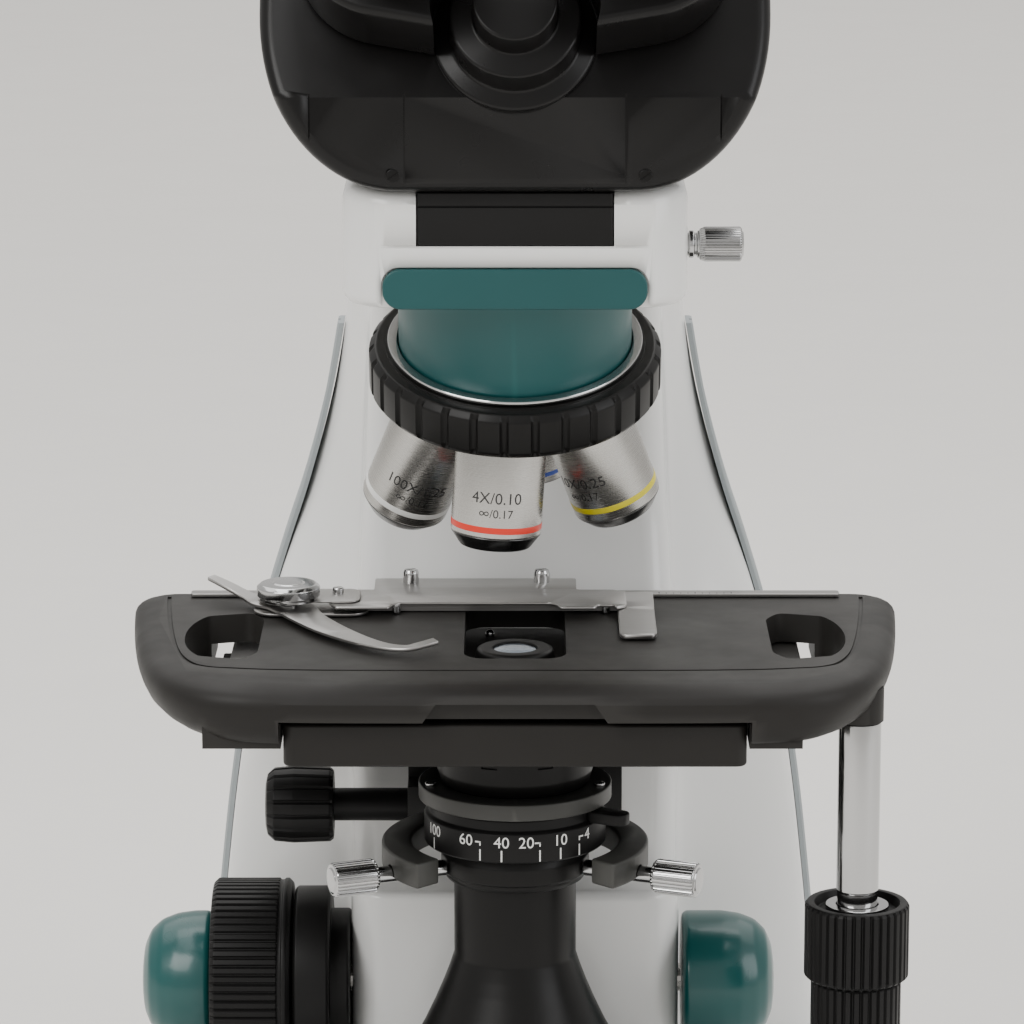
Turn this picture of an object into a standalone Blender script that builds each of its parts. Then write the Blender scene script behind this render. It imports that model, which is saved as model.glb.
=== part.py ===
"""A compound microscope, modelled as separate named parts.

Lengths in this script are in millimetres, and MM turns them into metres. Heights are above the
table. Depths are counted from the optical axis, negative towards the observer, and AXIS_Y places
the optical axis so that the whole object is centred on the origin.
"""
import math

import bmesh
import bpy
from mathutils import Matrix, Vector

MM = 0.001
GAP = 0.3

# The stand
BASE_FRONT = -112.0
BASE_BACK = 152.0
BASE_HALF = 98.0
BASE_TOP = 30.0
BASE_BOTTOM = 5.3
FOOT_HEIGHT = 2.3
WALL = 5.0
AXIS_Y = -(BASE_FRONT + BASE_BACK) / 2.0
ARM_FRONT = 64.0
ARM_BACK = 148.0
HOUSING_HALF = 46.0
HOUSING_FRONT = 36.0
HOUSING_TOP = 90.0
PANEL = 2.0

# The arm's head, and what it carries
HEAD_HALF = 44.5
HEAD_FRONT = -36.0
HEAD_LOW = 267.8
HEAD_TOP = 298.5
SEAT_RADIUS = 24.6
SEAT_FLOOR = 274.0
LOCK_HEIGHT = 279.1

# The nosepiece: the cone on which the objectives lie
TILT = math.radians(20.0)
APEX_HEIGHT = 280.4
RING_FROM_APEX = 31.2
RING_RADIUS = 39.0
RING_THICK = 13.2
SHOULDER_FROM_APEX = 53.0
TURNED_OFF_CLICK = math.radians(-11.0)
CARRIER_RADIUS = 31.0

# The stage
STAGE_TOP = 172.0
STAGE_THICK = 7.5
STAGE_HALF = 105.5
STAGE_REACH = 54.0
STAGE_BOTTOM = 156.5
STAGE_CORNER = 34.0
BLOCK_TOP = 161.5
BLOCK_LOW = 150.2
BLOCK_HALF = 60.0
RAIL_TOP = 173.2
SHEET_TOP = 175.2
FINGER_LOW = 173.5
STEM_X = 90.8
STEM_DEPTH = -25.0
PIVOT_X = -62.0
PIVOT_DEPTH = 30.0

# The condenser
BARREL_RADIUS = 21.0
SPIGOT_RADIUS = 19.0
CONDENSER_BORE = 18.0
YOKE_OUTER = 36.0
YOKE_INNER = 28.0
YOKE_LOW = 109.9
YOKE_TOP = 116.9
HOLDER_LOW = 128.8
HOLDER_TOP = 133.3
RING_LOW = 116.6
LOWER_RING_LOW = 106.8
SCREW_HEIGHT = 110.8
SCREW_ANGLE = math.radians(22.0)
HEIGHT_KNOB = 112.2
HEIGHT_KNOB_DEPTH = 49.0
TOWER_TOP = 109.0
TOWER_RADIUS = 16.5
FLARE_TOP = 84.7

# The focus drive
FOCUS_DEPTH = 48.0
FOCUS_HEIGHT = 61.8
COARSE_RADIUS = 28.0
FINE_RADIUS = 18.8

# The binocular head
SLOPE = math.radians(30.0)
HINGE_DEPTH = -33.5
HINGE_HEIGHT = 338.0
RECESS_HEIGHT = 321.6
HINGE_RADIUS = 21.0
EYE_SIDE = 32.0
EYE_RISE = 19.3

# Finishes: colour, roughness, metallic
FINISHES = {
    "white_paint": ((0.80, 0.80, 0.78), 0.25, 0.0),
    "black_paint": ((0.018, 0.018, 0.020), 0.45, 0.0),
    "stage_black": ((0.022, 0.022, 0.024), 0.60, 0.0),
    "grey_panel": ((0.36, 0.37, 0.38), 0.50, 0.0),
    "head_black": ((0.020, 0.020, 0.021), 0.40, 0.0),
    "dark_plastic": ((0.030, 0.030, 0.032), 0.50, 0.0),
    "green_paint": ((0.012, 0.095, 0.090), 0.50, 0.0),
    "chrome": ((0.75, 0.75, 0.76), 0.15, 1.0),
    "steel": ((0.60, 0.60, 0.61), 0.30, 1.0),
    "rubber": ((0.015, 0.015, 0.015), 0.80, 0.0),
    "glass": ((0.80, 0.85, 0.88), 0.05, 0.0),
}


def clear_scene():
    for obj in list(bpy.data.objects):
        bpy.data.objects.remove(obj, do_unlink=True)


def material(name, finish):
    colour, roughness, metallic = FINISHES[finish]
    made = bpy.data.materials.new(name)
    made.use_nodes = True
    shader = made.node_tree.nodes["Principled BSDF"]
    shader.inputs["Base Color"].default_value = (*colour, 1.0)
    shader.inputs["Roughness"].default_value = roughness
    shader.inputs["Metallic"].default_value = metallic
    return made


# ---- placing ----

def spot(x, depth, height):
    return Matrix.Translation(Vector((x, depth + AXIS_Y, height)) * MM)


def along(direction):
    """The rotation that turns local Z to the direction and keeps local X as level as it can."""
    z_axis = Vector(direction).normalized()
    side = Vector((1.0, 0.0, 0.0))
    if abs(z_axis.x) > 0.99:
        side = Vector((0.0, 1.0, 0.0))
    y_axis = z_axis.cross(side).normalized()
    x_axis = y_axis.cross(z_axis)
    return Matrix((x_axis, y_axis, z_axis)).transposed().to_4x4()


RIGHT = along((1.0, 0.0, 0.0))
FRONT = along((0.0, -1.0, 0.0))
NOSE_UP = Vector((0.0, -math.sin(TILT), math.cos(TILT)))
EYE_OUT = Vector((0.0, -math.cos(SLOPE), math.sin(SLOPE)))


def on_nose_axis(distance):
    """The point this far below the cone's apex on the nosepiece's own axis."""
    return spot(0.0, distance * math.sin(TILT), APEX_HEIGHT - distance * math.cos(TILT))


# ---- making solids ----

def add_object(name, bm, finish, where):
    bmesh.ops.recalc_face_normals(bm, faces=bm.faces)
    mesh = bpy.data.meshes.new(name)
    bm.to_mesh(mesh)
    bm.free()
    mesh.materials.append(material(name, finish))
    mesh.shade_smooth()
    mesh.set_sharp_from_angle(angle=math.radians(32.0))
    obj = bpy.data.objects.new(name, mesh)
    bpy.context.collection.objects.link(obj)
    obj.matrix_world = where
    return obj


def join_loops(bm, first, second):
    """Faces between two closed loops of vertices, either of which may be a single vertex."""
    count = max(len(first), len(second))
    for i in range(count):
        j = (i + 1) % count
        if len(first) == 1:
            bm.faces.new((first[0], second[i], second[j]))
        elif len(second) == 1:
            bm.faces.new((first[i], first[j], second[0]))
        else:
            bm.faces.new((first[i], first[j], second[j], second[i]))


def turned(name, profile, finish, where, steps=24):
    """A solid turned about local Z from (radius, height) points.

    A profile that starts and ends on the axis is solid, and any other is a closed loop with a bore.
    """
    bm = bmesh.new()
    loops = []
    for radius, height in profile:
        count = steps if radius > 0.0 else 1
        angles = [2.0 * math.pi * i / count for i in range(count)]
        loops.append([
            bm.verts.new(Vector((radius * math.cos(a), radius * math.sin(a), height)) * MM)
            for a in angles
        ])
    for first, second in zip(loops, loops[1:]):
        join_loops(bm, first, second)
    if profile[0][0] > 0.0:
        join_loops(bm, loops[-1], loops[0])
    return add_object(name, bm, finish, where)


def lofted(name, sections, finish, where):
    """A solid through (height, outline) sections with equal numbers of points."""
    bm = bmesh.new()
    loops = [[bm.verts.new(Vector((x, y, height)) * MM) for x, y in outline]
             for height, outline in sections]
    for first, second in zip(loops, loops[1:]):
        join_loops(bm, first, second)
    bm.faces.new(loops[0])
    bm.faces.new(loops[-1])
    return add_object(name, bm, finish, where)


def prism(name, outline, low, high, finish, where, bevel=0.0, segments=1):
    obj = lofted(name, [(low, outline), (high, outline)], finish, where)
    if bevel:
        soften(obj, bevel, segments)
    return obj


def block(name, x, depth, height, finish, bevel=0.0, corner=0.0):
    """A box between pairs of limits, with its upright corners rounded if asked."""
    outline = rounded(x[0], x[1], depth[0], depth[1], corner)
    return prism(name, outline, height[0], height[1], finish, spot(0.0, 0.0, 0.0), bevel)


def soften(obj, width, segments=1):
    made = obj.modifiers.new("soft_edges", "BEVEL")
    made.width = width * MM
    made.segments = segments
    made.limit_method = "ANGLE"
    made.angle_limit = math.radians(40.0)


def arc(x, y, radius, start, end, steps):
    """Points on an arc, in degrees from the first angle to the last."""
    angles = [math.radians(start + (end - start) * i / steps) for i in range(steps + 1)]
    return [(x + radius * math.cos(a), y + radius * math.sin(a)) for a in angles]


def rounded(x0, x1, y0, y1, radius, steps=4):
    if radius <= 0.0:
        return [(x0, y0), (x1, y0), (x1, y1), (x0, y1)]
    points = arc(x1 - radius, y0 + radius, radius, -90.0, 0.0, steps)
    points += arc(x1 - radius, y1 - radius, radius, 0.0, 90.0, steps)
    points += arc(x0 + radius, y1 - radius, radius, 90.0, 180.0, steps)
    points += arc(x0 + radius, y0 + radius, radius, 180.0, 270.0, steps)
    return points


def pear(x1, y1, radius1, x2, y2, radius2, steps=10):
    """The outline round a large circle and a small one."""
    heading = math.degrees(math.atan2(y2 - y1, x2 - x1))
    lean = math.degrees(math.acos((radius1 - radius2) / math.hypot(x2 - x1, y2 - y1)))
    points = arc(x1, y1, radius1, heading + lean, heading + 360.0 - lean, 2 * steps)
    points += arc(x2, y2, radius2, heading - lean, heading + lean, steps)
    return points


def combine(obj, tool, operation):
    made = obj.modifiers.new(tool.name, "BOOLEAN")
    made.operation = operation
    made.solver = "EXACT"
    made.object = tool
    tool.hide_render = True
    tool.display_type = "WIRE"


def cut(obj, *tools):
    for tool in tools:
        combine(obj, tool, "DIFFERENCE")


def fuse(obj, *tools):
    for tool in tools:
        combine(obj, tool, "UNION")


def rod(name, radius, start, end, finish, where, steps=14):
    return turned(name, [(0.0, start), (radius, start), (radius, end), (0.0, end)], finish, where, steps)


def tube(name, outer, inner, start, end, finish, where, steps=24):
    profile = [(inner, end), (outer, end), (outer, start), (inner, start)]
    return turned(name, profile, finish, where, steps)


# ---- the stand ----

def build_base():
    outline = rounded(-BASE_HALF, BASE_HALF, BASE_FRONT, BASE_BACK, 34.0, 7)
    base = prism("base_housing", outline, BASE_BOTTOM, BASE_TOP, "white_paint", spot(0, 0, 0), 5.0, 3)
    pocket = block("switch_pocket", (-BASE_HALF - 2, -BASE_HALF + 9), (-52.3, -27.7), (10.2, 24.8),
                   "dark_plastic")
    spindle = rod("dial_hole", 3.4, -14.0, 4.0, "dark_plastic", spot(BASE_HALF, -40.0, 17.5) @ RIGHT)
    room = rounded(-BASE_HALF + WALL, BASE_HALF - WALL, BASE_FRONT + WALL, BASE_BACK - WALL, 29.0, 6)
    cavity = prism("base_cavity", room, 0.0, BASE_TOP - WALL, "white_paint", spot(0, 0, 0))
    well = block("switch_well", (-BASE_HALF - 1, -BASE_HALF + 14), (-57, -23), (3, BASE_TOP - 1),
                 "white_paint")
    cut(cavity, well)
    cut(base, cavity, pocket, spindle)
    inner = rounded(-BASE_HALF + 6, BASE_HALF - 6, BASE_FRONT + 6, BASE_BACK - 6, 29.0, 6)
    prism("bottom_cover", inner, FOOT_HEIGHT + GAP, BASE_BOTTOM - GAP, "dark_plastic", spot(0, 0, 0))
    for front, depth in (("front", BASE_FRONT + 32), ("rear", BASE_BACK - 32)):
        for side, x in (("left", -74.0), ("right", 74.0)):
            profile = [(0, FOOT_HEIGHT), (10, FOOT_HEIGHT), (10, 0.8), (9, 0), (0, 0)]
            turned("foot_" + front + "_" + side, profile, "rubber", spot(x, depth, 0), 16)


def build_base_controls():
    x = -BASE_HALF
    prism("power_switch", [(-11.5, -5.2), (11.5, -5.2), (11.5, 5.2), (-11.5, 5.2)],
          0.0, 8.0, "dark_plastic", spot(x + 6.0, -40.0, 17.5) @ along((-1, 0, 0)), 1.0)
    profile = [(0, 5.0), (10.2, 5.0), (11, 4.2), (11, 0.3), (3.1, 0.3), (3.1, -12.0), (0, -12.0)]
    turned("light_dial", profile, "dark_plastic", spot(BASE_HALF, -40.0, 17.5) @ RIGHT, 24)


def arm_section(side, front, back, throat):
    """Half of the arm's plan outline is worked out and mirrored; throat is its front half-width."""
    right = arc(throat - 8.0, front + 8.0, 8.0, -90.0, 0.0, 4)
    spread_end = front + 32.0
    for i in range(1, 6):
        share = i / 6.0
        ease = share * share * (3.0 - 2.0 * share)
        right.append((throat + (side - throat) * ease, front + 8.0 + (spread_end - front - 8.0) * share))
    right += arc(side - 18.0, back - 18.0, 18.0, 0.0, 90.0, 6)
    return right + [(-x, y) for x, y in reversed(right)]


# Arm sections: height, half-width at the side, depth of the front, depth of the back, front half-width
ARM_SECTIONS = (
    (BASE_TOP + GAP, 88.0, ARM_FRONT, ARM_BACK, 46.0),
    (55.0, 86.0, ARM_FRONT, ARM_BACK, 46.0),
    (80.0, 83.5, ARM_FRONT, ARM_BACK, 46.0),
    (106.0, 80.5, ARM_FRONT, ARM_BACK, 46.0),
    (132.0, 76.5, ARM_FRONT, ARM_BACK, 46.0),
    (155.0, 71.0, ARM_FRONT, ARM_BACK - 1.0, 45.0),
    (175.0, 65.0, ARM_FRONT + 6.0, ARM_BACK - 2.0, 44.0),
    (195.0, 58.5, ARM_FRONT + 10.0, ARM_BACK - 5.0, 43.0),
    (218.0, 52.5, ARM_FRONT + 10.0, ARM_BACK - 9.0, 42.0),
    (240.0, 48.5, ARM_FRONT + 6.0, ARM_BACK - 15.0, 41.0),
    (258.0, 46.5, ARM_FRONT - 4.0, ARM_BACK - 22.0, 40.0),
    (274.0, 45.0, ARM_FRONT - 16.0, ARM_BACK - 30.0, 39.0),
    (290.0, 43.0, ARM_FRONT - 24.0, ARM_BACK - 40.0, 38.0),
    (HEAD_TOP - 0.5, 38.0, ARM_FRONT - 22.0, ARM_BACK - 50.0, 34.0),
)
PANEL_FROM = 100.0
PANEL_TO = 126.0


def build_arm():
    sections = [(row[0], arm_section(*row[1:])) for row in ARM_SECTIONS]
    arm = lofted("arm", sections, "white_paint", spot(0, 0, 0))
    head = prism("arm_head", rounded(-HEAD_HALF, HEAD_HALF, HEAD_FRONT, 82.0, 14.0, 5),
                 HEAD_LOW, HEAD_TOP, "white_paint", spot(0, 0, 0), 3.0)
    fuse(arm, head)
    inside = [(height, arm_section(side - WALL, front + WALL, back - WALL, throat - WALL))
              for height, side, front, back, throat in ARM_SECTIONS[1:10]]
    inside = [(BASE_TOP - 3.0, inside[0][1])] + inside
    hollow = lofted("arm_cavity", inside, "white_paint", spot(0, 0, 0))
    cut(arm, hollow)
    seat = rod("seat_hole", SEAT_RADIUS, SEAT_FLOOR, HEAD_TOP + 2, "white_paint", spot(0, 0, 0), 28)
    window = block("seat_window", (-25.3, 25.3), (HEAD_FRONT - 2, -18.0), (284.2, HEAD_TOP + 2),
                   "white_paint")
    pocket = block("cover_pocket", (-34.3, 34.3), (HEAD_FRONT - 2, HEAD_FRONT + 2), (HEAD_LOW - 2, 278.9),
                   "white_paint")
    lock = rod("lock_hole", 3.4, 20.0, HEAD_HALF + 3, "white_paint", spot(0, 0, LOCK_HEIGHT) @ RIGHT)
    inlet = block("inlet_pocket", (-15.3, 15.3), (ARM_BACK - 18, ARM_BACK + 3), (44.7, 69.3), "white_paint")
    cut(arm, seat, window, pocket, lock, inlet)


def build_focus_housing():
    """The box in front of the arm that holds the focus shaft, open towards the arm."""
    right = arc(HOUSING_HALF - 10.0, HOUSING_FRONT + 10.0, 10.0, -90.0, 0.0, 5)
    right += [(HOUSING_HALF, ARM_FRONT - GAP)]
    outline = right + [(-x, y) for x, y in reversed(right)]
    housing = prism("focus_housing", outline, BASE_TOP + GAP, HOUSING_TOP, "white_paint", spot(0, 0, 0))
    room = block("housing_room", (WALL - HOUSING_HALF, HOUSING_HALF - WALL),
                 (HOUSING_FRONT + WALL, ARM_FRONT + WALL), (BASE_TOP + GAP + WALL, HOUSING_TOP - WALL),
                 "white_paint")
    shaft = rod("focus_hole", 4.6, -HOUSING_HALF - 4, HOUSING_HALF + 4, "white_paint",
                spot(0, FOCUS_DEPTH, FOCUS_HEIGHT) @ RIGHT, 16)
    cut(housing, room, shaft)


def build_arm_trim():
    for side, sign in (("left", -1.0), ("right", 1.0)):
        sections = []
        for height, half, _front, back, _throat in ARM_SECTIONS[1:10]:
            inner = sign * (half + GAP)
            outer = sign * (half + GAP + PANEL)
            far = min(PANEL_TO, back - 20.0)
            sections.append((height, [(inner, PANEL_FROM), (outer, PANEL_FROM + 1.5),
                                      (outer, far - 1.5), (inner, far)]))
        lofted("side_panel_" + side, sections, "grey_panel", spot(0, 0, 0))
    block("head_front_plate", (-25.0, 25.0), (HEAD_FRONT, -25.4), (284.5, HEAD_TOP - 0.3),
          "dark_plastic", 0.5)
    outline = rounded(-33.9, 33.9, HEAD_LOW + GAP, 278.5, 4.5, 4)
    prism("carrier_cover", outline, -HEAD_FRONT - 1.7, -HEAD_FRONT + 1.0, "green_paint",
          spot(0, 0, 0) @ FRONT)


def build_inlet():
    inlet = block("mains_inlet", (-15.0, 15.0), (ARM_BACK - 17.5, ARM_BACK + 0.8), (45.0, 69.0),
                  "dark_plastic")
    mouth = block("inlet_mouth", (-12.5, 12.5), (ARM_BACK - 14.0, ARM_BACK + 3), (48.5, 65.5),
                  "dark_plastic")
    cut(inlet, mouth)


def build_tower():
    """The field lens tower: a plain tube on a flared body, with its skirt and iris ring round the foot."""
    profile = [
        (0, TOWER_TOP - 11), (13.9, TOWER_TOP - 11), (13.9, TOWER_TOP), (TOWER_RADIUS - 0.6, TOWER_TOP),
        (TOWER_RADIUS, TOWER_TOP - 0.6), (TOWER_RADIUS, FLARE_TOP + GAP), (0, FLARE_TOP + GAP),
    ]
    turned("field_tower", profile, "black_paint", spot(0, 0, 0))
    flare = [
        (0, FLARE_TOP), (TOWER_RADIUS, FLARE_TOP), (17.8, 81), (19.3, 77), (21.8, 71), (24.6, 65), (27, 60.5),
        (27, 58), (18, 58), (18, BASE_TOP + GAP), (0, BASE_TOP + GAP),
    ]
    turned("tower_flare", flare, "black_paint", spot(0, 0, 0))
    foot = [(18.3, 48), (29, 48), (31, 46), (34, BASE_TOP + GAP + 1), (34, BASE_TOP + GAP),
            (18.3, BASE_TOP + GAP)]
    turned("tower_foot", foot, "black_paint", spot(0, 0, 0))
    tube("field_iris_ring", 29.0, 18.3, 48.3, 57.7, "dark_plastic", spot(0, 0, 0), 28)
    lens = [(0, 106), (6, 105.6), (10, 104.8), (13.5, 103), (13.5, TOWER_TOP - 10.7), (0, TOWER_TOP - 10.7)]
    turned("field_lens", lens, "glass", spot(0, 0, 0), 20)


# ---- the focus drive ----

def build_focus():
    axle = spot(0, FOCUS_DEPTH, FOCUS_HEIGHT) @ RIGHT
    coarse = [
        (4.4, -84.9), (COARSE_RADIUS - 1.5, -84.9), (COARSE_RADIUS, -83.4), (COARSE_RADIUS, -64.0),
        (COARSE_RADIUS - 1.4, -62.6), (4.4, -62.6),
    ]
    turned("coarse_focus_knob", coarse, "dark_plastic", axle, 32)
    collar = [(4.4, -46.3), (19.5, -46.3), (19.5, -51.7), (25.8, -51.7), (25.8, -61.9), (4.4, -61.9)]
    turned("tension_collar", collar, "dark_plastic", axle, 28)
    left = [(0, -105), (FINE_RADIUS - 3, -104.2), (FINE_RADIUS - 0.8, -102), (FINE_RADIUS, -99),
            (FINE_RADIUS, -86.5), (FINE_RADIUS - 1, -85.3), (0, -85.3)]
    turned("fine_focus_knob_left", left, "green_paint", axle)
    right = [(0, 73), (FINE_RADIUS - 3, 72.2), (FINE_RADIUS - 0.8, 70), (FINE_RADIUS, 67),
             (FINE_RADIUS, 48), (FINE_RADIUS - 1, 47), (0, 47)]
    turned("fine_focus_knob_right", right, "green_paint", axle)
    rod("focus_shaft", 4.0, -85.0, 46.7, "steel", axle, 16)


# ---- the stage ----

def build_carriage():
    """The bracket that the focus drive lifts: it carries the stage block and the condenser."""
    plate = block("stage_carriage", (-50, 50), (29, 63.5), (140, BLOCK_LOW - GAP), "black_paint", 1.0, 4.0)
    back = block("carriage_back", (-30, 30), (52, 63.5), (102, 146), "black_paint")
    rail = block("carriage_rail", (-12, 12), (42, 56), (104, 145), "black_paint")
    lug = block("pinion_lug", (-30, -10), (42.5, 55.5), (HEIGHT_KNOB - 7, HEIGHT_KNOB + 7), "black_paint")
    bore = rod("pinion_hole", 5.0, -34, -19, "black_paint", spot(0, HEIGHT_KNOB_DEPTH, HEIGHT_KNOB) @ RIGHT)
    fuse(plate, back, rail, lug)
    cut(plate, bore)


def build_stage_block():
    body = block("stage_base", (-BLOCK_HALF, BLOCK_HALF), (-49, 56), (BLOCK_LOW, BLOCK_TOP),
                 "stage_black", 1.0, 3.0)
    hole = rod("condenser_hole", 24.0, BLOCK_LOW - 3, BLOCK_TOP + 3, "stage_black", spot(0, 0, 0), 28)
    cut(body, hole)
    scale = block("stage_y_scale", (-77.4, -67.0), (-18, 30), (159.0, 161.4), "steel")
    wing = block("scale_wing", (-80, -BLOCK_HALF - GAP), (-20, 32), (153.5, 160.3), "steel")
    fuse(scale, wing)


def stage_outline(side, front, back):
    """The stage's plan: large round corners at the front and small ones behind."""
    points = arc(side - STAGE_CORNER, front + STAGE_CORNER, STAGE_CORNER, -90.0, 0.0, 6)
    points += arc(side - 8.0, back - 8.0, 8.0, 0.0, 90.0, 3)
    return points + [(-x, y) for x, y in reversed(points)]


def build_stage_plate():
    low = STAGE_TOP - STAGE_THICK
    rim = STAGE_HALF
    reach = STAGE_REACH
    sections = [
        (STAGE_BOTTOM, stage_outline(rim - 22.0, -reach + 3.5, reach)),
        (STAGE_BOTTOM + 5.0, stage_outline(rim - 9.0, -reach + 1.0, reach)),
        (STAGE_TOP - 5.5, stage_outline(rim, -reach, reach)),
        (STAGE_TOP - 1.5, stage_outline(rim, -reach, reach)),
        (STAGE_TOP, stage_outline(rim - 1.5, -reach + 1.5, reach - 1.5)),
    ]
    plate = lofted("stage_plate", sections, "stage_black", spot(0, 0, 0))
    under = block("under_pocket", (-61, 61), (-reach - 6, reach + 6), (STAGE_BOTTOM - 4, low), "stage_black")
    room = block("scale_pocket", (-83, -50), (-28, reach + 6), (STAGE_BOTTOM - 4, low - 0.4), "stage_black")
    cut(plate, under, room)
    for side, x in (("left", (-58, -50)), ("right", (50, 58))):
        fuse(plate, block("guide_" + side, x, (-45, 52), (BLOCK_TOP + GAP, low + 2), "stage_black"))
    fuse(plate, rod("stem_boss", 8.0, STAGE_BOTTOM, low + 2, "stage_black", spot(STEM_X, STEM_DEPTH, 0), 20))
    for side, sign in (("left", -1.0), ("right", 1.0)):
        opening = [(sign * 68.2, -14), (sign * 72, -21)]
        opening += [(sign * (78.4 + 10.2 * math.sin(a)), 4.5 - 25.5 * math.cos(a))
                    for a in [math.pi * i / 10 for i in range(2, 9)]]
        opening += [(sign * 72, 30), (sign * 68.2, 23)]
        cut(plate, prism("d_opening_" + side, opening, STAGE_BOTTOM - 4, STAGE_TOP + 4, "stage_black",
                         spot(0, 0, 0)))
    cut(plate, block("aperture", (-13.6, 13.6), (-17, 44), (low - 4, STAGE_TOP + 4), "stage_black", 0.0, 5.0))


def build_stage_drive():
    block("x_rail", (-90, 90), (47.5, 52.0), (STAGE_TOP + GAP, RAIL_TOP), "steel")
    rod("xy_stem", 5.6, 66, STAGE_BOTTOM - GAP, "chrome", spot(STEM_X, STEM_DEPTH, 0), 16)
    tube("y_drive_knob", 13.9, 5.9, 86, 106.7, "dark_plastic", spot(STEM_X, STEM_DEPTH, 0))
    cap = [(0, 62), (11.2, 62), (12, 62.8), (12, 84.9), (11.2, 85.7), (5.9, 85.7), (5.9, 65.7), (0, 65.7)]
    turned("x_drive_knob", cap, "dark_plastic", spot(STEM_X, STEM_DEPTH, 0))


def build_slide_holder():
    floor = STAGE_TOP + 0.4
    bar = block("slide_holder", (-47, 38), (24, 44.5), (floor, SHEET_TOP), "steel", 0.5, 3.0)
    bridge = block("rail_bridge", (-39, 17), (32, 58), (RAIL_TOP + GAP, SHEET_TOP), "steel", 0.0, 2.0)
    jaw = block("right_jaw", (27.5, 38), (-2, 30), (floor, 174.2), "steel", 0.4, 2.0)
    tab = block("pivot_tab", (-72, -40), (21, 39), (floor, FINGER_LOW - GAP), "steel", 0.0, 6.0)
    fuse(bar, bridge, jaw, tab)
    knob = [(0, 180.8), (7.6, 180.8), (8.7, 179.8), (8.7, 175.0), (2.5, 175.0), (2.5, FINGER_LOW),
            (0, FINGER_LOW)]
    turned("finger_pivot_knob", knob, "chrome", spot(PIVOT_X, PIVOT_DEPTH, 0), 20)
    finger = prism("holder_finger", finger_outline(), FINGER_LOW, FINGER_LOW + 1.2, "steel",
                   spot(PIVOT_X, PIVOT_DEPTH, 0))
    hole = rod("finger_hole", 2.9, 170, 180, "steel", spot(PIVOT_X, PIVOT_DEPTH, 0), 16)
    cut(finger, hole)


# The finger's middle line about its pivot, from its tail to its tip: x, depth, half-width
FINGER_LINE = (
    (-22.0, 14.5, 1.7), (-12.0, 8.5, 2.6), (-6.0, 4.0, 4.8), (0.0, 0.0, 6.2), (5.5, -13.0, 5.0),
    (12.0, -26.0, 4.3), (20.0, -38.0, 3.2), (27.0, -45.5, 2.4), (33.0, -48.5, 2.1), (41.0, -46.5, 1.9),
)


def finger_outline():
    """The finger's plan about its pivot: both sides of its middle line."""
    right, left = [], []
    for i, (x, y, half) in enumerate(FINGER_LINE):
        before = FINGER_LINE[max(0, i - 1)]
        after = FINGER_LINE[min(len(FINGER_LINE) - 1, i + 1)]
        length = math.hypot(after[0] - before[0], after[1] - before[1])
        side = ((before[1] - after[1]) / length * half, (after[0] - before[0]) / length * half)
        right.append((x + side[0], y + side[1]))
        left.append((x - side[0], y - side[1]))
    return right + left[::-1]


# ---- the condenser ----

def build_condenser():
    barrel = [
        (0, 167.0), (6.0, 167.0), (6.0, 170.0), (9.9, 170.0), (10.5, 169.4), (11.5, 165.5), (13.2, 161.0),
        (17.0, 156.5), (20.2, 152.5), (BARREL_RADIUS, 150.0), (BARREL_RADIUS, 137.0),
        (20.0, HOLDER_TOP + GAP), (0, HOLDER_TOP + GAP),
    ]
    turned("condenser_barrel", barrel, "black_paint", spot(0, 0, 0), 28)
    lens = [(0, 170.2), (3, 170.0), (5.7, 169.4), (5.7, 167.3), (0, 167.3)]
    turned("condenser_top_lens", lens, "glass", spot(0, 0, 0), 16)
    sleeve = [
        (CONDENSER_BORE, HOLDER_TOP), (SPIGOT_RADIUS, HOLDER_TOP), (SPIGOT_RADIUS, RING_LOW - GAP),
        (20.0, RING_LOW - GAP), (20.0, LOWER_RING_LOW), (CONDENSER_BORE, LOWER_RING_LOW),
    ]
    turned("condenser_lower_ring", sleeve, "black_paint", spot(0, 0, 0), 28)
    ring = tube("aperture_ring", 24.5, SPIGOT_RADIUS + GAP, RING_LOW, HOLDER_LOW - GAP, "dark_plastic",
                spot(0, 0, 0), 32)
    lever_axis = Matrix.Rotation(math.radians(-28.0), 4, "Z")
    lever = prism("iris_lever", rounded(22.0, 34.0, -3.0, 3.0, 2.5, 3), 125.0, 128.2, "dark_plastic",
                  spot(0, 0, 0) @ lever_axis)
    fuse(ring, lever)


def screw_axis(sign):
    """The way out along a centring screw, level and a little towards the observer."""
    return Vector((sign * math.cos(SCREW_ANGLE), -math.sin(SCREW_ANGLE), 0.0))


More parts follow.
